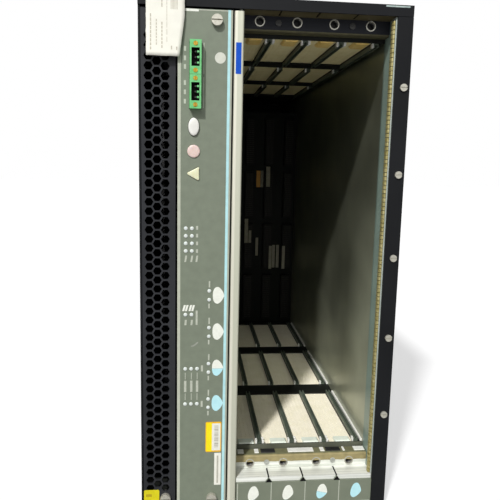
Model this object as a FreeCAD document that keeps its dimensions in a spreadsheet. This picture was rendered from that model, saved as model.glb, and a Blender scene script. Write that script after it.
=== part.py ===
"""A modular router chassis that stands on its side: power bays and a status panel at the left,
a card cage with four slots at the right, a fan tray under the cage and an air filter over it.

Millimetres. X runs to the right across the front, Y to the rear, Z up. The driving sizes count from
the left front lower corner of the case. The part's origin is the middle of the case's underside.
"""
import FreeCAD, Part
import math
import os
import re

import Sketcher

V = FreeCAD.Vector

SIZES = {
    "Case": dict(
        case_depth=622, case_height=443, skin=1.6, fit=0.3, band_height=8.7,
        rear_fold=12, cover_lip=14, rack_hole_radius=2.1, rack_hole_left=30, rack_hole_span=160,
        rack_hole_front=14, rack_hole_step=32,
    ),
    "Front panels": dict(
        panel_gap=1.7, panel_fold=11.4, flange_width=13, bar_height=20, vent_setback=2, vent_width=27.4,
        hex_pitch=7.68, hex_flat=6.3, vent_low=27.9, vent_edge=3.4, vent_shift=1.2,
        craft_width=43.1, trim_gap=1.5, trim_width=7.7, trim_groove=4.6, trim_depth=9, trim_nose=3,
        trim_round=1.6, tooth_width=6.4, tooth_height=4.2,
        tag_left=6.5, tag_width=30, tag_drop=47.6, tag_thick=0.4, tag_taper=4, tag_taper_height=30,
        tag_fold=8,
    ),
    "Card cage": dict(
        slot_count=4, slot_pitch=31.2, cage_play=1.4, floor_height=51, ceiling_drop=23.9,
        rail_face=18.5, rail_back=30, lip_thick=4.4, sill_drop=15.8, rail_rise=10.7,
        slit_width=1.4, slit_depth=15, gasket_thick=1.8, side_gasket_depth=7, side_gasket_thick=3.4,
        side_gasket_round=2,
        panel_thick=1.6, panel_back=446, panel_flange=10, rib_width=4.8, window_offset=2.4, window_edge=2,
        row_count=3, row_first=33, row_length=117, row_pitch=142,
        guide_offset=5.4, guide_width=4.4, guide_height=3.2, groove_width=2.2, groove_depth=2.2,
        clip_width=1.5, clip_length=4, clip_height=3.6, screen_thick=0.8, lining_thick=1.2,
        foot_width=2, foot_height=2.2,
    ),
    "Midplane": dict(
        midplane_front=452, midplane_thick=3.2, midplane_bar=9, connector_width=15, connector_depth=11,
        connector_count=4, connector_gap=10, connector_first=58, connector_lap=2,
    ),
    "Status panel": dict(
        lamp_across=12.9, terminal_width=9.2, terminal_length=26, terminal_proud=7, terminal_across=14,
        terminal_drop=86.8, terminal_gap=0.2, cavity_width=6.4, cavity_length=14, terminal_screw_inset=2.9,
        pin_radius=0.6, pin_length=5, pin_step=4.2, pin_count=3,
        button_drop=100.7, button_half_width=4.45, button_half_length=7.2, button_proud=2.2,
        button_body=4.8, button_travel=1.2, button_stem=1.4, stem_length=3.4, switch_width=8,
        switch_play=0.3,
        red_lens_drop=120.1, lens_radius=5.2, lens_proud=1.2, lens_stem=3,
        amber_lens_drop=138.1, amber_tip=6.1, amber_base=4.8, amber_half=6.5, amber_round=1.4,
        board_front=8, board_thick=1.6, board_margin=2.5, board_low=34, post_radius=1.5, post_low=60,
        post_inset=4.2, post_rows=3,
        led_radius=1, led_proud=0.4, led_play=0.1, led_across=6.9, led_step=5.05, led_rise=6.3,
        upper_leds_drop=201.8, middle_leds_drop=256.3, lower_leds=107, lower_leds_step=31.8,
        slot_led_across=26.8, slot_led_low=107.3, slot_led_pitch=32.03, slot_led_half=3.85,
    ),
    "Fasteners": dict(
        flange_screw_count=5, flange_screw_low=93.3, flange_screw_drop=64.5, flange_screw_inset=5.3,
        flange_screw_radius=3, flange_screw_proud=1.6, screw_slot=1, thread_radius=1.5, thread_play=0.1,
        captive_radius=4.3, captive_proud=4, captive_inset=8.2, craft_screw_across=30.6,
        vent_screw_inset=8.3,
        bush_radius=4.2, bush_bore=3.3, bush_length=7, bush_rise=4.6, bush_proud=0.8,
        rail_screw_radius=2.5, rail_screw_proud=1.1, thumb_radius=4.8, thumb_proud=9, case_screw_proud=1.8,
        terminal_screw_radius=1.7, terminal_screw_proud=0.4, terminal_screw_depth=4, case_screw_radius=3,
        sunk_depth=1.3, cover_screw_count=6, cover_screw_margin=60, stud_radius=3, stud_proud=14,
        stud_shoulder=3.6,
        stud_head=5, stud_head_thick=2, stud_low=92, stud_step=15.9, stud_inset=24,
    ),
    "Fan tray and filter": dict(
        fan_count=3, fan_margin=3, fan_gap=23, fan_play=1.7, fan_room=6.9, fan_wall=3, tip_gap=3,
        hub_radius=19, hub_room=12, hub_lift=4.5, blade_count=7, blade_chord=26, blade_room=9,
        blade_thick=2.2, motor_thick=4, strut_width=5, shaft_radius=3, shaft_play=0.05,
        shaft_room=6, tray_front=32.5, tray_wall=16, handle_width=76, handle_reach=26, handle_thick=6,
        handle_grip=14, filter_front=34, filter_room=3.8, filter_bar=8, media_inset=2.2,
        pull_width=26, pull_reach=12, grille_pitch=11.5, grille_flat=9.6, intake_margin=5,
    ),
    "Rear": dict(
        bay_count=4, bay_front=330, divider_fold=22, cover_left_lap=10.4, cover_right_lap=8, blank_gap=0.6,
        blank_pull_width=30, blank_pull_reach=11, blank_vent_columns=4, blank_vent_rows=3,
        plate_screw_count=4,
    ),
}

doc = FreeCAD.newDocument("router_chassis")
sheet = doc.addObject("Spreadsheet::Sheet", "Sizes")
row = 0
for title, cells in SIZES.items():
    row += 1
    sheet.set(f"A{row}", title)
    for alias, number in cells.items():
        row += 1
        sheet.set(f"A{row}", alias.replace("_", " "))
        sheet.set(f"B{row}", str(number))
        sheet.setAlias(f"B{row}", alias)
doc.recompute()

# Sizes and places that follow from the driving ones
FOLLOWING = {
    "front_margin": "band_height + panel_gap",
    "craft_left": "skin + fit + vent_width + panel_gap",
    "trim_left": "craft_left + craft_width + trim_gap",
    "divider_left": "trim_left + trim_groove",
    "cage_left": "divider_left + skin",
    "cage_width": "slot_count * slot_pitch + cage_play",
    "cage_right": "cage_left + cage_width",
    "cage_axis": "cage_left + cage_width / 2",
    "case_width": "cage_right + flange_width",
    "fitted_left": "cage_left + fit",
    "fitted_width": "cage_width - 2 * fit",
    "rail_front": "skin + fit",
    "rail_left": "trim_left + trim_width + fit",
    "rail_width": "cage_right - fit - rail_left",
    "shell_back": "case_depth - skin - fit",
    "fold_front": "shell_back - skin",
    "plate_front": "case_depth - skin",
    "inside_height": "case_height - 2 * skin - 2 * fit",
    "panel_height": "case_height - 2 * front_margin",
    "upper_lip": "case_height - band_height",
    "lower_lip_top": "floor_height - sill_drop",
    "ceiling_height": "case_height - ceiling_drop",
    "label_top": "lower_lip_top - lip_thick",
    "tag_front": "captive_proud - vent_setback + fit + tag_thick",
    "window_width": "slot_pitch - rib_width",
    "thread_hole": "thread_radius + thread_play",
    "vent_axis": "skin + fit + vent_width / 2 - vent_shift",
    "vent_screw_axis": "skin + fit + vent_width - vent_screw_inset",
    "craft_screw_axis": "craft_left + craft_screw_across",
    "craft_axis": "craft_left + lamp_across",
    "terminal_axis": "craft_left + terminal_across",
    "terminal_low": "case_height - terminal_drop",
    "terminal_step": "terminal_length + terminal_gap",
    "button_height": "case_height - button_drop",
    "red_lens_height": "case_height - red_lens_drop",
    "amber_lens_height": "case_height - amber_lens_drop",
    "led_left": "craft_left + led_across",
    "upper_leds": "case_height - upper_leds_drop",
    "middle_leds": "case_height - middle_leds_drop",
    "slot_led_axis": "craft_left + slot_led_across",
    "post_step": "(case_height - 2 * post_low) / (post_rows - 1)",
    "post_span": "craft_width - 2 * post_inset",
    "flange_screw_x": "case_width - flange_screw_inset",
    "flange_screw_pitch": "(case_height - flange_screw_low - flange_screw_drop) / (flange_screw_count - 1)",
    "cover_screw_step": "(shell_back - 2 * cover_screw_margin) / (cover_screw_count - 1)",
    "cover_screw_depth": "2 * skin + fit",
    "connector_pitch": "(case_height - 2 * connector_first + connector_gap) / connector_count",
    "connector_height": "connector_pitch - connector_gap",
    "fan_floor": "2 * skin + fit",
    "tray_top": "floor_height - panel_thick - screen_thick - 2 * fit",
    "fan_size": "fitted_width - 2 * skin - 2 * fan_play",
    "fan_bore": "fan_size / 2 - fan_wall",
    "rotor_reach": "fan_bore - tip_gap",
    "fan_first": "tray_front + fan_margin + fan_size / 2",
    "fan_pitch": "fan_size + fan_gap",
    "fan_depth": "tray_top - fan_floor - fan_room",
    "rotor_low": "fan_floor + hub_lift",
    "hub_height": "fan_depth - hub_room",
    "blade_climb": "hub_height - blade_room",
    "shaft_length": "hub_height - shaft_room",
    "filter_low": "ceiling_height + panel_thick + screen_thick + fit",
    "filter_thick": "case_height - skin - filter_room - filter_low",
    "media_thick": "filter_thick - 2 * media_inset",
    "cover_left": "divider_left - cover_left_lap",
    "left_lap": "cover_left + thumb_radius + fit",
    "right_lap": "cage_right + cover_right_lap - thumb_radius - fit",
    "cover_low": "tray_top + blank_gap",
    "cover_high": "filter_low - blank_gap",
    "tray_screw_z": "(tray_top + skin + fit) / 2",
    "filter_screw_z": "filter_low + filter_thick / 2",
    "plate_screw_step": "(cover_high - cover_low - 4 * thumb_radius) / (plate_screw_count - 1)",
    "plate_thread": "2 * skin + 2 * fit",
    "bay_left": "2 * skin + 2 * fit",
    "bay_width": "divider_left - fit - bay_left",
    "bay_pitch": "(case_height - 2 * skin) / bay_count",
    "blank_left": "skin + fit",
    "blank_width": "cover_left - blank_gap - blank_left",
    "blank_screw_left": "blank_left + thumb_radius + fit",
    "blank_screw_right": "cover_left - blank_gap - thumb_radius - fit",
}
WORD = re.compile(r"[a-z][a-z_]*")
COLUMN_STEP = math.sqrt(3) / 2
STARTING_REACH = 50
SAME = 0.01

nodes = {}


def size(alias):
    return float(sheet.get(alias))


def count(alias):
    return int(round(size(alias)))


def spell(word):
    """A size as the sheet's cell, or what it follows from, in brackets."""
    name = word.group()
    if name in FOLLOWING:
        return "(" + WORD.sub(spell, FOLLOWING[name]) + ")"
    return "Sizes." + name


def bind(thing, prop, text):
    thing.setExpression(prop, WORD.sub(spell, str(text)))


def place(thing, x, y, z):
    """Puts a shape at a point that counts from the case's left front lower corner."""
    bind(thing, "Placement.Base.x", f"{x} - case_width / 2")
    bind(thing, "Placement.Base.y", f"{y} - case_depth / 2")
    bind(thing, "Placement.Base.z", z)
    return thing


def keep(thing, label):
    thing.Label = label
    nodes[label] = thing
    return thing


def block(name, x, y, z, dx, dy, dz):
    thing = doc.addObject("Part::Box", name)
    for prop, text in zip(("Length", "Width", "Height"), (dx, dy, dz)):
        bind(thing, prop, text)
    return place(thing, x, y, z)


TURN_TO = {
    "X": FreeCAD.Rotation(V(0, 1, 0), 90),
    "Y": FreeCAD.Rotation(V(1, 0, 0), -90),
    "Z": FreeCAD.Rotation(),
}


def rod(name, x, y, z, radius, length, axis="Y"):
    """A cylinder from a point along X, Y or Z."""
    thing = doc.addObject("Part::Cylinder", name)
    bind(thing, "Radius", radius)
    bind(thing, "Height", length)
    thing.Placement = FreeCAD.Placement(V(0, 0, 0), TURN_TO[axis])
    return place(thing, x, y, z)


def join(name, *things):
    fused = doc.addObject("Part::MultiFuse", name)
    fused.Shapes = list(things)
    fused.Refine = True
    return fused


def group(name, things):
    thing = doc.addObject("Part::Compound", name)
    thing.Links = list(things)
    return thing


def cut(name, base, *tools):
    thing = doc.addObject("Part::Cut", name)
    thing.Base = base
    thing.Tool = tools[0] if len(tools) == 1 else group(name + "_tools", tools)
    thing.Refine = True
    return thing


def hexagons(name, spots, flat, depth, axis, x, y, z):
    """Hexagonal prisms along Y or Z about a point, as one cutting tool."""
    reach = flat / math.sqrt(3)
    prisms = []
    for first, second in spots:
        ring = []
        for corner in range(7):
            angle = math.radians(60 * corner)
            u = first + reach * math.cos(angle)
            w = second + reach * math.sin(angle)
            ring.append(V(u, 0, w) if axis == "Y" else V(u, w, 0))
        way = V(0, depth, 0) if axis == "Y" else V(0, 0, depth)
        prisms.append(Part.Face(Part.makePolygon(ring)).extrude(way))
    tool = doc.addObject("Part::Feature", name)
    tool.Shape = Part.makeCompound(prisms)
    return place(tool, x, y, z)


def hex_grid(columns, rows, pitch):
    """Spots of a honeycomb about its middle: every second column has one less, half a pitch along."""
    spots = []
    for column in range(columns):
        u = (column - (columns - 1) / 2) * pitch * COLUMN_STEP
        lines = rows - column % 2
        spots += [(u, (line - (lines - 1) / 2) * pitch) for line in range(lines)]
    return spots


def body(name, x="0", y="0", z="0"):
    return place(doc.addObject("PartDesign::Body", name), x, y, z)


def origin(owner, role):
    return next(item for item in owner.Origin.OriginFeatures if item.Role == role)


def sketch(owner, name, plane, offset="0"):
    """A sketch on one of the body's origin planes, moved along the plane's normal."""
    drawing = owner.newObject("Sketcher::SketchObject", name)
    drawing.AttachmentSupport = [(origin(owner, plane), "")]
    drawing.MapMode = "FlatFace"
    bind(drawing, "AttachmentOffset.Base.z", offset)
    return drawing


def pin_point(drawing, geometry, point, start, texts):
    for kind, number, text in zip(("DistanceX", "DistanceY"), start, texts):
        index = drawing.addConstraint(Sketcher.Constraint(kind, -1, 1, geometry, point, number))
        bind(drawing, f"Constraints[{index}]", text)


def outline(drawing, corners):
    """A closed polygon whose corners are pairs of expressions."""
    total = len(corners)
    turn = 2 * math.pi / total
    spots = [V(math.cos(turn * i), math.sin(turn * i), 0) * STARTING_REACH for i in range(total)]
    first = drawing.GeometryCount
    for i in range(total):
        drawing.addGeometry(Part.LineSegment(spots[i], spots[(i + 1) % total]), False)
    for i in range(total):
        following = first + (i + 1) % total
        drawing.addConstraint(Sketcher.Constraint("Coincident", first + i, 2, following, 1))
    for i, corner in enumerate(corners):
        pin_point(drawing, first + i, 1, (spots[i].x, spots[i].y), corner)


def rectangle(drawing, u, w, du, dw):
    right = f"{u} + {du}"
    top = f"{w} + {dw}"
    outline(drawing, [(u, w), (right, w), (right, top), (u, top)])


def circle(drawing, u, w, radius):
    start = V(5, 5, 0)
    geometry = drawing.addGeometry(Part.Circle(start, V(0, 0, 1), 2), False)
    pin_point(drawing, geometry, 3, (start.x, start.y), (u, w))
    index = drawing.addConstraint(Sketcher.Constraint("Radius", geometry, 2))
    bind(drawing, f"Constraints[{index}]", radius)


def pad(owner, drawing, length, backwards=False):
    feature = owner.newObject("PartDesign::Pad", drawing.Name + "_pad")
    feature.Profile = drawing
    feature.Reversed = backwards
    bind(feature, "Length", length)
    return feature


def pocket(owner, drawing, length, backwards=False):
    feature = owner.newObject("PartDesign::Pocket", drawing.Name + "_pocket")
    feature.Profile = drawing
    feature.Reversed = backwards
    bind(feature, "Length", length)
    return feature


def repeat(owner, feature, axis, step, times):
    """A row of copies of a feature along one of the body's axes."""
    pattern = owner.newObject("PartDesign::LinearPattern", feature.Name + "_row")
    pattern.Originals = [feature]
    pattern.Direction = (origin(owner, axis), [""])
    bind(pattern, "Length", f"({step}) * ({times} - 1)")
    bind(pattern, "Occurrences", times)
    owner.Tip = pattern
    return pattern


def soften(owner, feature, radius, chosen):
    """Rounds the edges that pass a test of the edge and the box around the whole shape."""
    doc.recompute()
    box = feature.Shape.BoundBox
    names = [f"Edge{i}" for i, edge in enumerate(feature.Shape.Edges, 1) if chosen(edge, box)]
    fillet = owner.newObject("PartDesign::Fillet", feature.Name + "_round")
    fillet.Base = (feature, names)
    bind(fillet, "Radius", radius)
    return fillet


def upright(edge, box):
    return edge.BoundBox.ZLength > box.ZLength - SAME


def slotted_screw(name, x, y, z, radius, proud, shank):
    """A round slotted head in front of a face, with its shank going in along +Y."""
    head = rod(name + "_head", x, f"{y} - {proud}", z, radius, proud)
    slot = block(name + "_slot", f"{x} - {radius}", f"{y} - {proud}", f"{z} - screw_slot / 2",
                 f"2 * {radius}", f"{proud} / 2", "screw_slot")
    return join(name, cut(name + "_top", head, slot), rod(name + "_shank", x, y, z, "thread_radius", shank))


def rear_screw(name, x, z, radius, proud, shank):
    """A round slotted head behind a rear plate, with its shank going in along -Y."""
    head = rod(name + "_head", x, "case_depth", z, radius, proud)
    slot = block(name + "_slot", f"{x} - {radius}", f"case_depth + {proud} / 2", f"{z} - screw_slot / 2",
                 f"2 * {radius}", f"{proud} / 2", "screw_slot")
    return join(name, cut(name + "_top", head, slot),
                rod(name + "_shank", x, f"case_depth - {shank}", z, "thread_radius", shank))


# Rows of screw places that both the screws and their holes follow
FLANGE_SCREWS = [f"(flange_screw_low + {i} * flange_screw_pitch)"
                 for i in range(count("flange_screw_count"))]
CAPTIVE_HEIGHTS = ["(front_margin + captive_inset)", "(case_height - front_margin - captive_inset)"]
COVER_SCREWS = [
    (f"(cover_screw_margin + {i} * cover_screw_step)", height)
    for i in range(count("cover_screw_count"))
    for height in ("(skin + cover_lip / 2)", "(case_height - skin - cover_lip / 2)")
]
PLATE_SCREWS = [f"(cover_low + 2 * thumb_radius + {i} * plate_screw_step)"
                for i in range(count("plate_screw_count"))]
BAY_MIDDLES = [f"(skin + ({i} + 0.5) * bay_pitch)" for i in range(count("bay_count"))]


def rear_holes(name, x, heights):
    """Thread holes through the rear folds, in line with the screws of the rear plates."""
    return [rod(f"{name}_{i}", x, "fold_front - skin", z, "thread_hole", "4 * skin")
            for i, z in enumerate(heights)]


def left_cover():
    front = "(skin + fit)"
    plate = block("cover_plate", "0", front, "skin", "skin", f"shell_back - {front}",
                  "case_height - 2 * skin")
    fold = block("cover_fold", "0", "fold_front", "skin + fit", "rear_fold", "skin", "inside_height")
    holes = [rod(f"cover_hole_{i}", "0", y, z, "thread_hole", "skin", "X") for i,
             (y, z) in enumerate(COVER_SCREWS)]
    holes += [sunk_head(f"cover_seat_{i}", y, z, "thread_play") for i, (y, z) in enumerate(COVER_SCREWS)]
    holes += rear_holes("blank_left_hole", "blank_screw_left", BAY_MIDDLES)
    keep(cut("cover_folded", join("cover_sheet", plate, fold), *holes), "left_cover")


def rack_holes(name, z):
    return [rod(f"{name}_{i}{j}", f"rack_hole_left + {i} * rack_hole_span",
                f"rack_hole_front + {j} * rack_hole_step",
                z, "rack_hole_radius", "skin", "Z") for i in range(2) for j in range(2)]


def cover_lip_block(name, low):
    front = "(panel_fold + fit)"
    return block(name, "skin + fit", front, low, "skin", f"fold_front - skin - {front}", "cover_lip")


def lip_holes(name, rank):
    return [rod(f"{name}_{i}", "skin", y, z, "thread_hole", "2 * skin", "X")
            for i, (y, z) in enumerate(COVER_SCREWS) if i % 2 == rank]


def top_panel():
    plate = block("top_plate", "0", "0", "case_height - skin", "case_width", "shell_back", "skin")
    band = block("top_band", "0", "0", "upper_lip", "case_width", "skin", "band_height")
    lip = cover_lip_block("top_lip", "case_height - skin - cover_lip")
    pitch = size("grille_pitch")
    width = size("slot_count") * size("slot_pitch") - size("rib_width") - size("intake_margin")
    rows = int((size("row_length") - size("intake_margin")) / pitch)
    spots = hex_grid(int(width / (pitch * COLUMN_STEP)), rows, pitch)
    holes = rack_holes("top_rack_hole", "case_height - skin") + lip_holes("top_lip_hole", 1)
    for i in range(count("row_count")):
        middle = f"row_first + row_length / 2 + {i} * row_pitch"
        holes.append(hexagons(f"top_intake_{i}", spots, size("grille_flat"), 3 * size("skin"), "Z",
                              "cage_axis",
                              middle, "case_height - 2 * skin"))
    keep(cut("top_open", join("top_sheet", plate, band, lip), *holes), "top_panel")


def exhaust_spots():
    """A round honeycomb field for one fan, solid under the hub."""
    pitch = size("grille_pitch")
    across = pitch * COLUMN_STEP
    inside = (size("slot_count") * size("slot_pitch") + size("cage_play")) / 2 - size("fit") - size("skin")
    reach = inside - size("fan_play") - size("fan_wall") - size("grille_flat") / 2
    steps = int(reach / across) + 1
    spots = []
    for column in range(-steps, steps + 1):
        for line in range(-steps, steps + 1):
            u = column * across
            w = line * pitch + (pitch / 2 if column % 2 else 0)
            if size("hub_radius") < math.hypot(u, w) < reach:
                spots.append((u, w))
    return spots


def bottom_panel():
    plate = block("bottom_plate", "0", "0", "0", "case_width", "shell_back", "skin")
    band = block("bottom_band", "0", "0", "0", "case_width", "skin", "band_height")
    lip = cover_lip_block("bottom_lip", "skin")
    holes = rack_holes("bottom_rack_hole", "0") + lip_holes("bottom_lip_hole", 0)
    spots = exhaust_spots()
    for i in range(count("fan_count")):
        holes.append(hexagons(f"bottom_exhaust_{i}", spots, size("grille_flat"), 3 * size("skin"), "Z",
                              "cage_axis",
                              fan_centre(i), "-skin"))
    keep(cut("bottom_open", join("bottom_sheet", plate, band, lip), *holes), "bottom_panel")


def right_panel():
    width = "case_width - cage_right"
    plate = block("right_plate", "case_width - skin", "0", "skin", "skin", "shell_back",
                  "case_height - 2 * skin")
    height = "case_height - 2 * band_height - 2 * fit"
    flange = block("right_flange", "cage_right", "0", "band_height + fit", width, "skin", height)
    fold = block("right_fold", "cage_right", "fold_front", "skin + fit", width, "skin", "inside_height")
    clear = block("right_band_gap", "case_width - skin", "0", "0", "skin", "skin + fit", "case_height")
    plate = cut("right_plate_clear", plate, clear)
    tie = block("right_tie", "case_width - skin", "0", "band_height + fit", "skin", "skin + fit", height)
    holes = [rod(f"flange_hole_{i}", "flange_screw_x", "0", z, "thread_hole", "skin")
             for i, z in enumerate(FLANGE_SCREWS)]
    holes += rear_holes("right_rear_hole", "right_lap", ["tray_screw_z", "filter_screw_z"] + PLATE_SCREWS)
    keep(cut("right_folded", join("right_sheet", plate, flange, fold, tie), *holes), "right_panel")


def flange_screws():
    screws = [slotted_screw(f"flange_screw_{i}", "flange_screw_x", "0", z, "flange_screw_radius",
                            "flange_screw_proud", "3 * skin") for i, z in enumerate(FLANGE_SCREWS)]
    keep(group("flange_screw_row", screws), "flange_screws")


def sunk_head(name, y, z, grow):
    """A countersunk head in the left cover's outer face, or the seat that it lies in."""
    head = doc.addObject("Part::Cone", name)
    bind(head, "Radius1", f"case_screw_radius + {grow}")
    bind(head, "Radius2", f"thread_radius + {grow}")
    bind(head, "Height", "sunk_depth")
    head.Placement = FreeCAD.Placement(V(0, 0, 0), TURN_TO["X"])
    return place(head, "0", y, z)


def cover_screws():
    """The countersunk screws down both long edges of the left cover."""
    screws = []
    for i, (y, z) in enumerate(COVER_SCREWS):
        head = sunk_head(f"cover_screw_head_{i}", y, z, "0")
        slot = block(f"cover_screw_slot_{i}", "0", f"{y} - case_screw_radius", f"{z} - screw_slot / 2",
                     "sunk_depth / 2", "2 * case_screw_radius", "screw_slot")
        shank = rod(f"cover_screw_shank_{i}", "sunk_depth / 2", y, z, "thread_radius",
                    "cover_screw_depth - sunk_depth / 2", "X")
        screws.append(join(f"cover_screw_{i}", cut(f"cover_screw_top_{i}", head, slot), shank))
    return screws


def folded_panel(name, left, front, width, depth):
    """A sheet panel whose four edges are folded back."""
    panel = body(name)
    face = sketch(panel, name + "_face", "XZ_Plane", f"-({front})")
    rectangle(face, left, "front_margin", width, "panel_height")
    pad(panel, face, depth, backwards=True)
    inside = sketch(panel, name + "_inside", "XZ_Plane", f"-({front} + skin)")
    rectangle(inside, f"{left} + skin", "front_margin + skin", f"{width} - 2 * skin",
              "panel_height - 2 * skin")
    pocket(panel, inside, f"{depth} - skin")
    return panel


def vent_panel():
    panel = folded_panel("vent_folded", "skin + fit", "vent_setback", "vent_width",
                         "panel_fold - vent_setback")
    pitch = size("hex_pitch")
    columns = int((size("vent_width") - 2 * size("vent_edge")) / (pitch * COLUMN_STEP))
    rows = int((size("case_height") - 2 * size("vent_low")) / pitch) + 1
    field = hexagons("vent_holes", hex_grid(columns, rows, pitch), size("hex_flat"), 3 * size("skin"), "Y",
                     "vent_axis", "vent_setback - skin", f"vent_low + {(rows - 1) / 2} * hex_pitch")
    screws = [rod(f"vent_screw_hole_{i}", "vent_screw_axis", "vent_setback", z, "thread_hole", "skin")
              for i, z in enumerate(CAPTIVE_HEIGHTS)]
    keep(cut("vent_open", panel, field, *screws), "vent_panel")


def panel_bars():
    """Two bars between the left cover and the divider that the front panels are screwed to."""
    bars = []
    for i, (low, screw) in enumerate(zip(("front_margin", "case_height - front_margin - bar_height"),
                                         CAPTIVE_HEIGHTS)):
        bar = block(f"bar_{i}", "2 * skin + 2 * fit", "panel_fold + fit", low,
                    "divider_left - 2 * skin - 3 * fit", "2 * skin", "bar_height")
        holes = [rod(f"bar_hole_{i}_{axis}", axis, "panel_fold", screw, "thread_hole", "4 * skin")
                 for axis in ("craft_screw_axis", "vent_screw_axis")]
        bars.append(cut(f"bar_drilled_{i}", bar, *holes))
    keep(group("bars", bars), "panel_bars")


def captive_screws():
    screws = []
    for panel, axis, face in (("craft", "craft_screw_axis", "0"),
                              ("vent", "vent_screw_axis", "vent_setback")):
        screws += [slotted_screw(f"{panel}_screw_{i}", axis, face, z, "captive_radius", "captive_proud",
                                 f"panel_fold + 2 * skin - {face}") for i, z in enumerate(CAPTIVE_HEIGHTS)]
    keep(group("captive_screw_pairs", screws), "front_captive_screws")


def led_places():
    """Centres of the small lamps: three blocks beside the left edge and a pair for each slot."""
    spots = [(f"(led_left + {i} * led_step)",
              f"(upper_leds + {j} * led_rise)") for i in range(2) for j in range(4)]
    spots += [(f"(led_left + {i} * led_step)", "middle_leds") for i in range(2)]
    spots += [(f"(led_left + {i} * led_step)", f"(lower_leds + {j} * lower_leds_step)")
              for i in range(3) for j in range(2)]
    spots += [("slot_led_axis", f"(slot_led_low + {i} * slot_led_pitch + {side} * slot_led_half)")
              for i in range(count("slot_count")) for side in (-1, 1)]
    return spots


def oval(name, front, length, grow):
    """An elliptical bar along Y around the button's axis."""
    ring = doc.addObject("Part::Ellipse", name + "_ring")
    bind(ring, "MajorRadius", f"button_half_length + {grow}")
    bind(ring, "MinorRadius", f"button_half_width + {grow}")
    upright = FreeCAD.Rotation(V(0, 0, 1), V(1, 0, 0), V(0, 1, 0), "XYZ")
    ring.Placement = FreeCAD.Placement(V(0, 0, 0), upright)
    place(ring, "craft_axis", front, "button_height")
    bar = doc.addObject("Part::Extrusion", name)
    bar.Base = ring
    bar.DirMode = "Custom"
    bar.Dir = V(0, 1, 0)
    bar.Solid = True
    bind(bar, "LengthFwd", length)
    return bar


def wedge(name, front, length, grow):
    """A triangular bar along Y, its point to the left."""
    bar = body(name)
    face = sketch(bar, name + "_face", "XZ_Plane", f"-({front})")
    slack = f"2 * ({grow})"
    outline(face, [
        (f"craft_axis - amber_tip - {slack}", "amber_lens_height"),
        (f"craft_axis + amber_base + {grow}", f"amber_lens_height - amber_half - {slack}"),
        (f"craft_axis + amber_base + {grow}", f"amber_lens_height + amber_half + {slack}"),
    ])
    solid = pad(bar, face, length, backwards=True)
    soften(bar, solid, "amber_round", lambda edge, box: edge.BoundBox.YLength > box.YLength - SAME)
    return bar


def craft_panel():
    panel = folded_panel("craft_folded", "craft_left", "0", "craft_width", "panel_fold")
    terminals = block("terminal_cutout", "terminal_axis - terminal_width / 2 - fit", "0",
                      "terminal_low - fit",
                      "terminal_width + 2 * fit", "skin", "terminal_length + terminal_step + 2 * fit")
    tools = [terminals, oval("button_cutout", "0", "skin", "fit"),
             wedge("amber_cutout", "0", "skin", "led_play")]
    tools.append(rod("red_cutout", "craft_axis", "0", "red_lens_height", "lens_radius + led_play", "skin"))
    for i, (x, z) in enumerate(led_places()):
        tools.append(rod(f"led_hole_{i}", x, "0", z, "led_radius + led_play", "skin"))
    for i, z in enumerate(CAPTIVE_HEIGHTS):
        tools.append(rod(f"craft_screw_hole_{i}", "craft_screw_axis", "0", z, "thread_hole", "skin"))
    keep(cut("craft_open", panel, *tools), "craft_panel")


def craft_board():
    width = "craft_width - 2 * board_margin"
    board = block("status_board", "craft_left + board_margin", "board_front", "board_low", width,
                  "board_thick",
                  "case_height - 2 * board_low")
    keep(board, "craft_board")


def craft_posts():
    posts = [rod(f"post_{i}{j}", f"craft_left + post_inset + {i} * post_span", "skin",
                 f"post_low + {j} * post_step",
                 "post_radius", "board_front - skin") for i in range(2) for j in range(count("post_rows"))]
    keep(group("posts", posts), "craft_posts")


def status_leds():
    lamps = [rod(f"led_{i}", x, "-led_proud", z, "led_radius", "board_front + led_proud")
             for i, (x, z) in enumerate(led_places())]
    keep(group("leds", lamps), "status_leds")


def alarm_lenses():
    head = rod("red_head", "craft_axis", "-lens_proud", "red_lens_height", "lens_radius",
               "lens_proud + skin")
    stem = rod("red_stem", "craft_axis", "skin", "red_lens_height", "lens_stem", "board_front - skin")
    keep(join("red_lens", head, stem), "red_alarm_lens")
    head = wedge("amber_head", "-lens_proud", "lens_proud + skin", "0")
    stem = rod("amber_stem", "craft_axis", "skin", "amber_lens_height", "lens_stem", "board_front - skin")
    keep(join("amber_lens", head, stem), "amber_alarm_lens")


def alarm_button():
    cap = oval("button_cap", "-button_proud", "button_body", "0")
    stem = rod("button_stem_rod", "craft_axis", "button_body - button_proud", "button_height",
               "button_stem", "stem_length")
    keep(join("button", cap, stem), "alarm_cutoff_button")
    front = "button_body - button_proud + button_travel + switch_play"
    case = block("switch_case", "craft_axis - switch_width / 2", front, "button_height - switch_width / 2",
                 "switch_width", f"board_front - ({front})", "switch_width")
    well = rod("switch_well", "craft_axis", front, "button_height", "button_stem + switch_play",
               f"board_front - ({front})")
    keep(cut("switch", case, well), "cutoff_switch")


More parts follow.
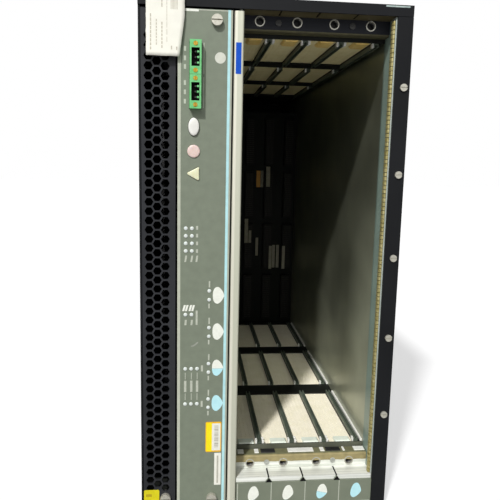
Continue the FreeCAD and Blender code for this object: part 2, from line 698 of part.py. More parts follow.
def terminals():
    screws = []
    pins = []
    for i, label in enumerate(("alarm_terminal_lower", "alarm_terminal_upper")):
        low = f"(terminal_low + {i} * terminal_step)"
        middle = f"({low} + terminal_length / 2)"
        shell = body(f"terminal_shell_{i}")
        face = sketch(shell, f"terminal_face_{i}", "XZ_Plane", "terminal_proud")
        rectangle(face, "terminal_axis - terminal_width / 2", low, "terminal_width", "terminal_length")
        pad(shell, face, "terminal_proud + board_front", backwards=True)
        mouth = sketch(shell, f"terminal_mouth_{i}", "XZ_Plane", "terminal_proud")
        rectangle(mouth, "terminal_axis - cavity_width / 2", f"{middle} - cavity_length / 2",
                  "cavity_width", "cavity_length")
        pocket(shell, mouth, "terminal_proud")
        ends = sketch(shell, f"terminal_ends_{i}", "XZ_Plane", "terminal_proud")
        for z in (f"{low} + terminal_screw_inset", f"{low} + terminal_length - terminal_screw_inset"):
            circle(ends, "terminal_axis", z, "terminal_screw_radius + led_play")
            name = f"terminal_screw_{len(screws)}"
            screw = rod(name, "terminal_axis", "-terminal_proud - terminal_screw_proud", z,
                        "terminal_screw_radius",
                        "terminal_screw_depth + terminal_screw_proud")
            slot = block(name + "_slot", "terminal_axis - screw_slot / 4",
                         "-terminal_proud - terminal_screw_proud",
                         f"{z} - terminal_screw_radius", "screw_slot / 2", "screw_slot",
                         "2 * terminal_screw_radius")
            screws.append(cut(name + "_top", screw, slot))
        pocket(shell, ends, "terminal_screw_depth")
        keep(shell, label)
        for j in range(count("pin_count")):
            z = f"{middle} + ({j} - (pin_count - 1) / 2) * pin_step"
            pins.append(rod(f"terminal_pin_{i}{j}", "terminal_axis", "-pin_length", z, "pin_radius",
                            "pin_length"))
    keep(group("terminal_screw_row", screws), "terminal_screws")
    keep(group("terminal_pin_rows", pins), "terminal_pins")


def divider():
    wall = block("divider_sheet", "divider_left", "trim_nose + fit", "skin + fit", "skin",
                 "shell_back - trim_nose - fit", "inside_height")
    fold = block("divider_fold_strip", "divider_left - divider_fold", "fold_front", "skin + fit",
                 "divider_fold", "skin", "inside_height")
    holes = rear_holes("divider_hole", "left_lap", ["tray_screw_z", "filter_screw_z"] + PLATE_SCREWS)
    holes += rear_holes("blank_right_hole", "blank_screw_right", BAY_MIDDLES)
    keep(cut("divider_folded", join("divider_joined", wall, fold), *holes), "divider_wall")
    trim = body("trim_strip")
    section = sketch(trim, "trim_section", "XY_Plane", "front_margin")
    right = "trim_left + trim_width"
    groove_left = "divider_left - fit"
    groove_right = "cage_left + fit"
    outline(section, [
        ("trim_left", "0"), (right, "0"), (right, "trim_depth"), (groove_right, "trim_depth"),
        (groove_right, "trim_nose"), (groove_left, "trim_nose"), (groove_left, "trim_depth"),
        ("trim_left", "trim_depth"),
    ])
    strip = pad(trim, section, "panel_height")
    soften(trim, strip, "trim_round", lambda edge,
           box: upright(edge, box) and edge.CenterOfMass.y < box.YMin + SAME)
    keep(trim, "divider_trim")


def card_rail(label, lip_face, way):
    """A rail across the cage: a lip towards the front and a face that takes the cards' screws.

    way is +1 where the lip faces up and -1 where it faces down.
    """
    def rise(text):
        return f"{lip_face} + {way} * ({text})"

    rail = body(label + "_bar")
    section = sketch(rail, label + "_section", "YZ_Plane", "rail_left")
    outline(section, [
        ("rail_front", rise("-lip_thick")), ("rail_back", rise("-lip_thick")),
        ("rail_back", rise("rail_rise")),
        ("rail_face", rise("rail_rise")), ("rail_face", rise("0")), ("rail_front", rise("0")),
    ])
    pad(rail, section, "rail_width")
    slit = sketch(rail, label + "_slit", "XY_Plane", rise("0"))
    rectangle(slit, "cage_left + slot_pitch - slit_width / 2", "rail_front", "slit_width", "slit_depth")
    slits = pocket(rail, slit, "lip_thick", backwards=way < 0)
    repeat(rail, slits, "X_Axis", "slot_pitch", "slot_count - 1")
    seat = sketch(rail, label + "_seat", "XZ_Plane", "-rail_face")
    circle(seat, "cage_left + slot_pitch / 2", rise("bush_rise"), "bush_radius")
    seats = pocket(rail, seat, "bush_length")
    repeat(rail, seats, "X_Axis", "slot_pitch", "slot_count")
    screw = sketch(rail, label + "_screw", "XZ_Plane", "-rail_face")
    circle(screw, "cage_left + slot_pitch", rise("rail_rise / 2"), "thread_hole")
    screws = pocket(rail, screw, "bush_length")
    repeat(rail, screws, "X_Axis", "2 * slot_pitch", "slot_count / 2")
    keep(rail, label)
    bushes = []
    for i in range(count("slot_count")):
        x = f"cage_left + slot_pitch * ({i} + 0.5)"
        z = rise("bush_rise")
        outer = rod(f"{label}_bush_{i}", x, "rail_face - bush_proud", z, "bush_radius",
                    "bush_length + bush_proud")
        bore = rod(f"{label}_bore_{i}", x, "rail_face - bush_proud", z, "bush_bore",
                   "bush_length + bush_proud")
        bushes.append(cut(f"{label}_bush_bored_{i}", outer, bore))
    pair = [slotted_screw(f"{label}_screw_{i}", f"(cage_left + slot_pitch * {1 + 2 * i})", "rail_face",
                          rise("rail_rise / 2"), "rail_screw_radius", "rail_screw_proud",
                          "bush_length - fit")
            for i in range(count("slot_count") // 2)]
    strip_low = rise("rail_rise") if way > 0 else f"{rise('rail_rise')} - gasket_thick"
    strip = block(label + "_strip", "rail_left", "rail_face", strip_low, "rail_width",
                  "rail_back - rail_face", "gasket_thick")
    return bushes, pair, strip


def card_rails():
    lower_bushes, lower_screws, lower_strip = card_rail("lower_rail", "lower_lip_top", 1)
    upper_bushes, upper_screws, upper_strip = card_rail("upper_rail", "upper_lip", -1)
    keep(group("rail_strips", [lower_strip, upper_strip]), "rail_gaskets")
    keep(group("bush_rows", lower_bushes + upper_bushes), "rail_bushes")
    keep(group("rail_screw_rows", lower_screws + upper_screws), "rail_screws")


def side_gasket():
    strip = body("side_strip")
    section = sketch(strip, "side_section", "XY_Plane", "lower_lip_top + fit")
    rectangle(section, "cage_right - side_gasket_thick", "rail_front + fit", "side_gasket_thick",
              "side_gasket_depth")
    bead = pad(strip, section, "upper_lip - lower_lip_top - 2 * fit")
    soften(strip, bead, "side_gasket_round",
           lambda edge, box: upright(edge, box) and edge.CenterOfMass.x < box.XMin + SAME)
    keep(strip, "side_gasket")


def inner_wall():
    wall = block("wall_sheet", "cage_right", "skin + fit", "skin + fit", "lining_thick",
                 "fold_front - skin - 2 * fit", "inside_height")
    keep(wall, "right_inner_wall")
    feet = [block(f"foot_{i}", "cage_right - foot_width - fit", f"row_first + {i} * row_pitch",
                  "floor_height",
                  "foot_width", "row_length", "foot_height") for i in range(count("row_count"))]
    keep(group("feet", feet), "wall_foot_strip")


def guide_axis(i):
    return f"(cage_left + {i + 1} * slot_pitch - guide_offset)"


def guide_panel(label, inside, way):
    """The cage's floor or ceiling: a panel with air windows, its guides, its clips and its screen.

    inside is the face towards the cards, and way is +1 for the floor and -1 for the ceiling.
    """
    low = f"({inside} - panel_thick)" if way > 0 else f"({inside})"
    flange_low = f"({inside} - panel_flange)" if way > 0 else f"({inside})"
    front = "(rail_back + fit)"
    plate = block(label + "_plate", "fitted_left", front, low, "fitted_width", f"panel_back - {front}",
                  "panel_thick")
    flange = block(label + "_flange", "rail_left", front, flange_low, "rail_width", "skin", "panel_flange")
    windows = []
    guides = []
    clips = []
    for i in range(count("slot_count")):
        axis = guide_axis(i)
        # The first window starts beside the divider, and the others beside the guide before them
        left = f"({axis} - window_offset - window_width)" if i else "(fitted_left + window_edge)"
        for j in range(count("row_count")):
            start = f"(row_first + {j} * row_pitch)"
            tag = f"{label}_{i}{j}"
            windows.append(block(tag + "_window", left, start, low, f"{axis} - window_offset - {left}",
                                 "row_length", "panel_thick"))
            base = inside if way > 0 else f"{inside} - guide_height"
            groove = f"{inside} + guide_height - groove_depth" if way > 0 else f"{inside} - guide_height"
            bar = block(tag + "_bar", f"{axis} - guide_width / 2", start, base, "guide_width",
                        "row_length", "guide_height")
            slot = block(tag + "_groove", f"{axis} - groove_width / 2", start, groove, "groove_width",
                         "row_length", "groove_depth")
            guides.append(cut(tag + "_guide", bar, slot))
            clip_base = inside if way > 0 else f"{inside} - clip_height"
            clips.append(block(tag + "_clip", f"{axis} - guide_width / 2 - clip_width", start,
                               clip_base, "clip_width", "clip_length", "clip_height"))
    keep(cut(label + "_frame", join(label + "_sheet", plate, flange), *windows), label + "_guide_panel")
    keep(group(label + "_guide_rows", guides), label + "_card_guides")
    screen_low = f"{low} - screen_thick" if way > 0 else f"{low} + panel_thick"
    screen = block(label + "_mesh", "fitted_left", f"{front} + skin + fit", screen_low, "fitted_width",
                   f"panel_back - {front} - skin - fit", "screen_thick")
    keep(screen, label + "_screen")
    return clips


def guide_panels():
    clips = guide_panel("lower", "floor_height", 1) + guide_panel("upper", "ceiling_height", -1)
    keep(group("clip_rows", clips), "guide_clips")


def midplane():
    low = "(connector_first - midplane_bar)"
    board = block("midplane_sheet", "fitted_left", "midplane_front", low, "fitted_width", "midplane_thick",
                  f"case_height - 2 * {low}")
    keep(board, "midplane_board")
    bars = [block(f"midplane_bar_{i}", "fitted_left", "midplane_front + midplane_thick", low,
                  "fitted_width",
                  "midplane_bar", "midplane_bar")
            for i, low in enumerate((low, "case_height - connector_first"))]
    keep(group("midplane_bars", bars), "midplane_frame")
    blocks = []
    for i in range(count("slot_count")):
        for j in range(count("connector_count")):
            x = f"{guide_axis(i)} + connector_lap - connector_width"
            z = f"(connector_first + {j} * connector_pitch)"
            tag = f"connector_{i}{j}"
            blocks.append(block(tag, x, "midplane_front - connector_depth", z, "connector_width",
                                "connector_depth", "connector_height"))
    keep(group("midplane_sockets", blocks), "midplane_connectors")


def slot_label_plate():
    plate = body("label_sheet")
    face = sketch(plate, "label_face", "XZ_Plane", "0")
    right = "cage_right - fit"
    low = "band_height + fit"
    corners = [("rail_left", low), (right, low), (right, "label_top")]
    for i in reversed(range(1, count("slot_count"))):
        tip = f"cage_left + {i} * slot_pitch"
        corners.append((f"{tip} + tooth_width / 2", "label_top"))
        corners.append((tip, "label_top + tooth_height"))
        corners.append((f"{tip} - tooth_width / 2", "label_top"))
    corners.append(("rail_left", "label_top"))
    outline(face, corners)
    pad(plate, face, "skin", backwards=True)
    keep(plate, "slot_label_plate")


def paper_tag():
    tag = body("tag_card")
    face = sketch(tag, "tag_face", "XZ_Plane", "tag_front")
    right = "tag_left + tag_width"
    low = "case_height - tag_drop"
    outline(face, [
        ("tag_left", low), (f"{right} - tag_taper", low), (right, f"{low} + tag_taper_height"),
        (right, "case_height"), ("tag_left", "case_height"),
    ])
    pad(tag, face, "tag_thick", backwards=True)
    fold = block("tag_fold_strip", "tag_left", "-tag_front", "case_height", "tag_width",
                 "tag_front + tag_fold",
                 "tag_thick")
    keep(join("tag_hung", tag, fold), "paper_tag")


def fan_centre(i):
    return f"(fan_first + {i} * fan_pitch)"


def rear_plate(name, low, high):
    """A cover plate that lies on the rear folds either side of the cage."""
    return block(name, "cover_left", "plate_front", low, "cage_right + cover_right_lap - cover_left",
                 "skin",
                 f"{high} - ({low})")


def plate_holes(name, heights):
    return [rod(f"{name}_{i}{j}", x, "plate_front", z, "thread_hole", "skin")
            for i, x in enumerate(("left_lap", "right_lap")) for j, z in enumerate(heights)]


def fan_tray():
    low = "(skin + fit)"
    length = "plate_front - tray_front"
    floor = block("tray_floor", "fitted_left", "tray_front", low, "fitted_width", length, "skin")
    left = block("tray_left", "fitted_left", "tray_front", low, "skin", length, "tray_wall")
    right = block("tray_right", "cage_right - fit - skin", "tray_front", low, "skin", length, "tray_wall")
    front = block("tray_front_wall", "fitted_left", "tray_front", low, "fitted_width", "skin", "tray_wall")
    back = rear_plate("tray_plate", low, "tray_top")
    bores = [rod(f"tray_bore_{i}", "cage_axis", fan_centre(i), low, "fan_bore", "skin", "Z")
             for i in range(count("fan_count"))]
    holes = plate_holes("tray_hole", ["tray_screw_z"])
    keep(cut("tray_open", join("tray_sheet", floor, left, right, front, back), *bores, *holes),
         "fan_tray_frame")
    keep(group("housings", [fan_housing(i) for i in range(count("fan_count"))]), "fan_housings")
    for i in range(count("fan_count")):
        fan_rotor(i)
    ends = [block(f"handle_post_{i}", f"cage_axis + {side} * handle_width / 2 - handle_thick / 2",
                  "case_depth",
                  "tray_screw_z - handle_grip / 2", "handle_thick", "handle_reach", "handle_grip")
            for i, side in enumerate((-1, 1))]
    grip = block("handle_grip_bar", "cage_axis - handle_width / 2 - handle_thick / 2",
                 "case_depth + handle_reach - handle_thick",
                 "tray_screw_z - handle_grip / 2", "handle_width + handle_thick", "handle_thick",
                 "handle_grip")
    keep(join("handle", grip, *ends), "fan_tray_handle")
    screws = [rear_screw(f"tray_screw_{i}", x, "tray_screw_z", "thumb_radius", "thumb_proud",
                         "plate_thread")
              for i, x in enumerate(("left_lap", "right_lap"))]
    keep(group("tray_screw_pair", screws), "fan_tray_screws")


def fan_housing(i):
    y = fan_centre(i)
    case = block(f"fan_case_{i}", "cage_axis - fan_size / 2", f"{y} - fan_size / 2", "fan_floor",
                 "fan_size",
                 "fan_size", "fan_depth")
    bore = rod(f"fan_bore_{i}", "cage_axis", y, "fan_floor", "fan_bore", "fan_depth", "Z")
    struts = [
        block(f"fan_strut_x_{i}", "cage_axis - fan_size / 2", f"{y} - strut_width / 2", "fan_floor",
              "fan_size",
              "strut_width", "motor_thick"),
        block(f"fan_strut_y_{i}", "cage_axis - strut_width / 2", f"{y} - fan_size / 2", "fan_floor",
              "strut_width",
              "fan_size", "motor_thick"),
    ]
    motor = rod(f"fan_motor_{i}", "cage_axis", y, "fan_floor", "hub_radius", "motor_thick", "Z")
    shaft = rod(f"fan_shaft_{i}", "cage_axis", y, "fan_floor + motor_thick", "shaft_radius",
                "shaft_length", "Z")
    return join(f"fan_frame_{i}", cut(f"fan_ring_{i}", case, bore), motor, shaft, *struts)


def fan_rotor(i):
    rotor = body(f"rotor_{i}", "cage_axis", fan_centre(i), "rotor_low")
    hub = sketch(rotor, f"hub_{i}", "XY_Plane")
    circle(hub, "0", "0", "hub_radius")
    pad(rotor, hub, "hub_height")
    section = sketch(rotor, f"blade_{i}", "YZ_Plane")
    start = "(hub_height - blade_climb - blade_thick) / 2"
    outline(section, [
        ("-blade_chord / 2", start), ("blade_chord / 2", f"{start} + blade_climb"),
        ("blade_chord / 2", f"{start} + blade_climb + blade_thick"),
        ("-blade_chord / 2", f"{start} + blade_thick"),
    ])
    blade = pad(rotor, section, "rotor_reach")
    ring = rotor.newObject("PartDesign::PolarPattern", f"blades_{i}")
    ring.Originals = [blade]
    ring.Axis = (origin(rotor, "Z_Axis"), [""])
    ring.Angle = 360
    bind(ring, "Occurrences", "blade_count")
    rotor.Tip = ring
    seat = sketch(rotor, f"shaft_seat_{i}", "XY_Plane")
    circle(seat, "0", "0", "shaft_radius + shaft_play")
    pocket(rotor, seat, "shaft_length + fit", backwards=True)
    keep(rotor, f"fan_rotor_{i + 1}")


def air_filter():
    length = "plate_front - filter_front"
    outer = block("filter_outer", "fitted_left", "filter_front", "filter_low", "fitted_width", length,
                  "filter_thick")
    inner = block("filter_inner", "fitted_left + filter_bar", "filter_front + filter_bar", "filter_low",
                  "fitted_width - 2 * filter_bar", f"{length} - 2 * filter_bar", "filter_thick")
    plate = rear_plate("filter_plate", "filter_low", "case_height - skin - fit")
    pull = block("filter_pull", "cage_axis - pull_width / 2", "case_depth", "filter_low", "pull_width",
                 "pull_reach", "skin")
    frame = join("filter_sheet", cut("filter_ring", outer, inner), plate, pull)
    keep(cut("filter_drilled", frame, *plate_holes("filter_hole", ["filter_screw_z"])), "filter_frame")
    media = block("filter_pad", "fitted_left + filter_bar", "filter_front + filter_bar",
                  "filter_low + (filter_thick - media_thick) / 2", "fitted_width - 2 * filter_bar",
                  f"{length} - 2 * filter_bar", "media_thick")
    keep(media, "filter_media")
    screws = [rear_screw(f"filter_screw_{i}", x, "filter_screw_z", "thumb_radius", "thumb_proud",
                         "plate_thread")
              for i, x in enumerate(("left_lap", "right_lap"))]
    keep(group("filter_screw_pair", screws), "filter_screws")


def power_bays():
    shelves = [block(f"shelf_{i}", "bay_left", "bay_front", f"skin + {i} * bay_pitch - skin / 2",
                     "bay_width",
                     "fold_front - fit - bay_front", "skin") for i in range(1, count("bay_count"))]
    keep(group("shelves", shelves), "power_bay_shelves")
    board = block("bay_board", "bay_left", "bay_front - midplane_thick", "skin + fit + cover_lip",
                  "bay_width",
                  "midplane_thick", "inside_height - 2 * cover_lip")
    keep(board, "power_backplane")
    vents = hex_grid(count("blank_vent_columns"), count("blank_vent_rows"), size("grille_pitch"))
    middle = "blank_left + blank_width / 2"
    blanks = []
    screws = []
    for i, height in enumerate(BAY_MIDDLES):
        plate = block(f"blank_sheet_{i}", "blank_left", "plate_front",
                      f"{height} - bay_pitch / 2 + blank_gap / 2",
                      "blank_width", "skin", "bay_pitch - blank_gap")
        pull = block(f"blank_pull_{i}", f"{middle} - blank_pull_width / 2", "case_depth", height,
                     "blank_pull_width", "blank_pull_reach", "skin")
        tools = [rod(f"blank_hole_{i}{j}", x, "plate_front", height, "thread_hole", "skin")
                 for j, x in enumerate(("blank_screw_left", "blank_screw_right"))]
        for j, side in enumerate((-1, 1)):
            tools.append(hexagons(f"blank_vents_{i}{j}", vents, size("grille_flat"), 3 * size("skin"), "Y",
                                  middle,
                                  "case_depth - 2 * skin", f"{height} + {side} * bay_pitch / 4"))
        blanks.append(cut(f"blank_{i}", join(f"blank_folded_{i}", plate, pull), *tools))
        screws += [rear_screw(f"blank_screw_{i}{j}", x, height, "thumb_radius", "thumb_proud",
                              "plate_thread")
                   for j, x in enumerate(("blank_screw_left", "blank_screw_right"))]
    keep(group("blank_rows", blanks), "power_blanks")
    keep(group("blank_screw_rows", screws), "power_blank_screws")


def rear_cover():
    plate = rear_plate("rear_sheet", "cover_low", "cover_high")
    heights = [f"(stud_low + {i} * stud_step)" for i in range(2)]
    x = "(cage_right - stud_inset)"
    holes = plate_holes("rear_hole", PLATE_SCREWS)
    holes += [rod(f"stud_hole_{i}", x, "plate_front", z, "stud_shoulder + thread_play", "skin")
              for i, z in enumerate(heights)]
    keep(cut("rear_drilled", plate, *holes), "rear_cover")
    screws = [rear_screw(f"rear_screw_{i}{j}", side, z, "case_screw_radius", "case_screw_proud",
                         "plate_thread")
              for i, side in enumerate(("left_lap", "right_lap")) for j, z in enumerate(PLATE_SCREWS)]
    keep(group("case_screw_rows", cover_screws() + screws), "case_screws")
    studs = []
    for i, z in enumerate(heights):
        stud = rod(f"stud_{i}", x, "case_depth", z, "stud_radius", "stud_proud")
        shoulder = rod(f"stud_shoulder_{i}", x, "plate_front", z, "stud_shoulder", "skin")
        head = rod(f"stud_head_{i}", x, "plate_front - stud_head_thick", z, "stud_head", "stud_head_thick")
        studs.append(join(f"stud_with_head_{i}", stud, shoulder, head))
    keep(group("stud_pair", studs), "ground_studs")


left_cover()
top_panel()
bottom_panel()
right_panel()
flange_screws()
vent_panel()
panel_bars()
captive_screws()
craft_panel()
craft_board()
craft_posts()
status_leds()
alarm_lenses()
alarm_button()
terminals()
divider()
card_rails()
side_gasket()
inner_wall()
guide_panels()
midplane()
slot_label_plate()
paper_tag()
fan_tray()
air_filter()
power_bays()
rear_cover()

doc.recompute()
failed = [item.Name for item in doc.Objects if {"Invalid", "Error"} & set(item.State)]
failed += [label for label, item in nodes.items() if item.Shape.isNull() or not item.Shape.isValid()]
if failed:
    raise RuntimeError("these pieces did not build: " + ", ".join(failed))

os.makedirs("parts", exist_ok=True)
for label, item in nodes.items():
    item.Shape.exportStep(f"parts/{label}.step")
    print(label, len(item.Shape.Solids), round(item.Shape.Volume / 1000, 2), "cm3")
print(len(nodes), "pieces written")
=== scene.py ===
# %% [markdown]
# # An empty router chassis, standing on its side
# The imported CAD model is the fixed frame: every sheet, rail, screw and fan is already in its place, in
# metres. This lesson dresses it. It gives each CAD node a finish, adds the fine pieces that are easier to
# grow in Blender than in CAD, sets a camera where the photographer stood, and lights a plain studio.

# %% Load the frame
import math

import bmesh
import bpy
from mathutils import Matrix, Vector, noise


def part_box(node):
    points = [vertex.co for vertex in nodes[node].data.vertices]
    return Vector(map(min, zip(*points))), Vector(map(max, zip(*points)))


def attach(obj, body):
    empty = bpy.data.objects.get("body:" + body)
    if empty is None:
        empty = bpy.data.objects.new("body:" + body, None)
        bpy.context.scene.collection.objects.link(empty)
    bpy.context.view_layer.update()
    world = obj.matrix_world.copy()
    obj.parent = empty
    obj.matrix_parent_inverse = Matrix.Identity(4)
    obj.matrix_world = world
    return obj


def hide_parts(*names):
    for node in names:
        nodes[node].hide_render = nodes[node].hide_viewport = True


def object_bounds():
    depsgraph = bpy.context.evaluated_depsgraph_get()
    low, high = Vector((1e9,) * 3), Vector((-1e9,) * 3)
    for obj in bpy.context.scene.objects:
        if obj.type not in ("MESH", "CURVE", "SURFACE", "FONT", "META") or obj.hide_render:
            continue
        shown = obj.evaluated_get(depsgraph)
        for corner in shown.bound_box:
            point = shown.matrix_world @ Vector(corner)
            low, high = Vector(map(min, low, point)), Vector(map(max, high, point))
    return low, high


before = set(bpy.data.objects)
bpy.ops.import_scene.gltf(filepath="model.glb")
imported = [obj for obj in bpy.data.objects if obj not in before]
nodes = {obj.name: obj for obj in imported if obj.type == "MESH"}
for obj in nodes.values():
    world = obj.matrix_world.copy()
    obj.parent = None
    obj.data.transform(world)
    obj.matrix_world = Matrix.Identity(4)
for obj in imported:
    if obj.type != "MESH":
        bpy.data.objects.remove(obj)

cad_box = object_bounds()
scene = bpy.context.scene
MM = 0.001
extent = Vector(cad_box[1]) - Vector(cad_box[0])
print(len(nodes), "CAD nodes, box", [round(length / MM, 1) for length in extent], "mm")

# %% [markdown]
# ## The camera
# The photograph was taken from in front, a little above the middle and to the left, with the camera rolled
# by about a degree. A camera can be turned with Euler angles, but here its three axes are written out from
# yaw, pitch and roll, because those are the numbers that a fit of known corners to the picture gives.

# %% Camera
FOCAL_SHARE = 566.1 / 500
YAW, PITCH, ROLL = (math.radians(angle) for angle in (5.7674, -8.7739, 1.2388))
ahead = Vector((math.sin(YAW) * math.cos(PITCH), math.cos(YAW) * math.cos(PITCH), math.sin(PITCH)))
level = Vector((math.cos(YAW), -math.sin(YAW), 0))
above = level.cross(ahead)
side = level * math.cos(ROLL) + above * math.sin(ROLL)
head = above * math.cos(ROLL) - level * math.sin(ROLL)

lens = bpy.data.cameras.new("photo_lens")
lens.sensor_width = 36
lens.lens = FOCAL_SHARE * lens.sensor_width
lens.clip_start = 0.02
camera = bpy.data.objects.new("photo_camera", lens)
scene.collection.objects.link(camera)
camera.matrix_world = Matrix((side, head, -ahead)).transposed().to_4x4()
camera.location = (-0.06619, -0.77822, 0.31480)
scene.camera = camera
print("camera with a lens of", round(lens.lens, 2), "mm")

# %% [markdown]
# ## Helpers for nodes and colours
# Colours are written as the sRGB hex values that a paint chart or a colour picker shows. Blender's sockets
# want linear values, so one function converts them. One more adds a node to any tree, sets its options, and
# plugs a fixed value or a link into each socket. Shaders and geometry both use it. Three short ones give the
# place of the shaded point, turn a place into a share, and feed the shader.

# %% Colours and nodes
def linear(code):
    """An sRGB hex colour as Blender's linear red, green, blue and alpha."""
    shares = [int(code[i:i + 2], 16) / 255 for i in (1, 3, 5)]
    return [s / 12.92 if s <= 0.04045 else ((s + 0.055) / 1.055) ** 2.4 for s in shares] + [1]


def plug(tree, socket, value):
    """Gives a socket a fixed value, a link, or a list of links. A node stands for its first output."""
    for source in value if isinstance(value, list) else [value]:
        if isinstance(source, bpy.types.Node):
            source = source.outputs[0]
        if isinstance(source, bpy.types.NodeSocket):
            tree.links.new(source, socket)
        else:
            socket.default_value = source


def add(tree, kind, inputs=(), **settings):
    """One node with its settings and what goes into it."""
    new = tree.nodes.new(kind)
    for name, value in settings.items():
        setattr(new, name, value)
    for socket, value in dict(inputs).items():
        plug(tree, new.inputs[socket], value)
    return new


def stops(ramp, *marks):
    """Sets a colour ramp's marks, each a place and a hex colour."""
    elements = ramp.color_ramp.elements
    while len(elements) < len(marks):
        elements.new(0.5)
    for element, (place, code) in zip(elements, marks):
        element.position = place
        element.color = linear(code)


def here(tree):
    """The shaded point in the object's own coordinates: metres in the shared frame."""
    return add(tree, "ShaderNodeTexCoord").outputs["Object"]


def between(tree, place, start, end, first=0.0, last=1.0):
    """A place along an axis, from start to end in mm, as a value from first to last."""
    return add(tree, "ShaderNodeMapRange", {"Value": place, "From Min": start * MM, "From Max": end * MM,
                                            "To Min": first, "To Max": last})


def feed(tree, socket, value):
    """Plugs a value into the tree's Principled shader."""
    plug(tree, tree.nodes["Principled BSDF"].inputs[socket], value)


print("mid grey is", round(linear("#808080")[0], 3), "in linear light")

# %% [markdown]
# ## A finish that most of the surfaces share
# Sheet metal paint, moulded plastic and plated screws differ in colour, gloss and grain, but their nodes
# have the same plan. A broad noise mottles the colour a little, as handling and dust do. The same noise
# moves the roughness, so highlights break up. A fine noise gives the bump: orange peel on paint, spark
# texture on plastic, or long streaks where a brush went along the metal.

# %% The shared plan
def finish(name, colour, second, rough, metal=0.0, patch=5, grain=0.5, height=0.01, along=(1, 1, 1),
           mirror=0.5):
    """A new material. patch and grain are the sizes of mottle and bump in mm, height the bump's in mm,
    and along stretches both: 0.05 on an axis makes them twenty times as long there. mirror is the share of
    clear reflection, which dust and a rough skin lower."""
    material = bpy.data.materials.new(name)
    material.use_nodes = True
    tree = material.node_tree
    turned = add(tree, "ShaderNodeMapping", {"Vector": here(tree), "Scale": along})
    broad = add(tree, "ShaderNodeTexNoise", {"Vector": turned, "Scale": 1 / (patch * MM), "Detail": 4.0})
    tint = add(tree, "ShaderNodeValToRGB", {"Fac": broad}, name="Tint")
    stops(tint, (0.3, colour), (0.7, second))
    gloss = add(tree, "ShaderNodeMapRange", {"Value": broad, "To Min": rough - 0.07, "To Max": rough + 0.07})
    fine = add(tree, "ShaderNodeTexNoise", {"Vector": turned, "Scale": 1 / (grain * MM), "Detail": 2.0})
    bump = add(tree, "ShaderNodeBump", {"Height": fine, "Distance": height * MM, "Strength": 0.6},
               name="Relief")
    feed(tree, "Metallic", metal)
    feed(tree, "Specular IOR Level", mirror)
    feed(tree, "Base Color", tint)
    feed(tree, "Roughness", gloss)
    feed(tree, "Normal", bump)
    return material


def dress(material, *names):
    """Gives CAD nodes a finish."""
    for name in names:
        nodes[name].data.materials.clear()
        nodes[name].data.materials.append(material)


print("one plan for every finish")

# %% [markdown]
# ## Painted sheet
# The shell is folded steel with a charcoal powder coat: nearly black, satin, with a fine orange peel that
# keeps a broad highlight soft. The honeycomb sheet is a shade lighter. The status panel and the label plate
# are sprayed a warm grey-green. The two guide frames of the card cage and the bars behind the front panels
# have a darker, flatter paint.

# %% Powder coat and enamel
charcoal = finish("charcoal powder coat", "#101113", "#18191b", 0.5, patch=60, grain=0.9, height=0.03,
                  mirror=0.14)
dress(charcoal, "left_cover", "top_panel", "bottom_panel", "right_panel", "rear_cover", "power_blanks",
      "filter_frame", "fan_tray_handle")
vent_coat = finish("slate powder coat", "#252629", "#2f3033", 0.5, patch=60, grain=0.9, height=0.03,
                   mirror=0.2)
dress(vent_coat, "vent_panel")
plate_enamel = finish("grey-green enamel", "#6c7362", "#757b6a", 0.52, patch=18, grain=0.7, height=0.02)
dress(plate_enamel, "slot_label_plate")
frame_paint = finish("flat dark paint", "#10120f", "#191b17", 0.6, patch=25, grain=0.6, height=0.02,
                     mirror=0.25)
dress(frame_paint, "upper_guide_panel", "panel_bars")
print("painted sheet done")

# %% [markdown]
# ## The status panel's stripes
# The same enamel, but the panel's left fold is bare and pale, and a cyan stripe runs down near its right
# edge, with a pale grey margin beyond it. These are straight bands across the panel, so a ramp with hard
# steps on the X coordinate draws them. Thin painted pieces could do it too, but the bands go round the
# folded edges, and a ramp follows the sheet there by itself. The floor frame of the cage gets bands too: its
# front flange is worn to a paler grey.

# %% Status panel
def banded(material, axis, low, high, *marks):
    """Replaces a finish's colour by hard bands along one axis, in mm, still mottled by its noise."""
    tree = material.node_tree
    place = add(tree, "ShaderNodeSeparateXYZ", {"Vector": here(tree)}).outputs[axis]
    bands = add(tree, "ShaderNodeValToRGB", {"Fac": between(tree, place, low, high)})
    bands.color_ramp.interpolation = "CONSTANT"
    stops(bands, *[((edge - low) / (high - low), code) for edge, code in marks])
    both = add(tree, "ShaderNodeMix", {"Factor": 1.0, 6: bands, 7: tree.nodes["Tint"]}, data_type="RGBA",
               blend_type="MULTIPLY")
    feed(tree, "Base Color", both.outputs[2])


floor_paint = finish("flat dark paint worn at the front", "#d8d8d8", "#ffffff", 0.6, patch=12, grain=0.6,
                     height=0.02, mirror=0.25)
banded(floor_paint, "Y", -282, 140, (-282, "#5d5f51"), (-280.2, "#141612"))
dress(floor_paint, "lower_guide_panel")
panel_enamel = finish("striped grey-green enamel", "#f2f2f2", "#ffffff", 0.5, patch=6, grain=0.7, height=0.02)
banded(panel_enamel, "X", -80, -36, (-80, "#b9bcab"), (-77.2, "#757d6c"), (-40.2, "#b2dfe2"),
       (-38.0, "#a3a695"))
dress(panel_enamel, "craft_panel")
print("status panel striped")
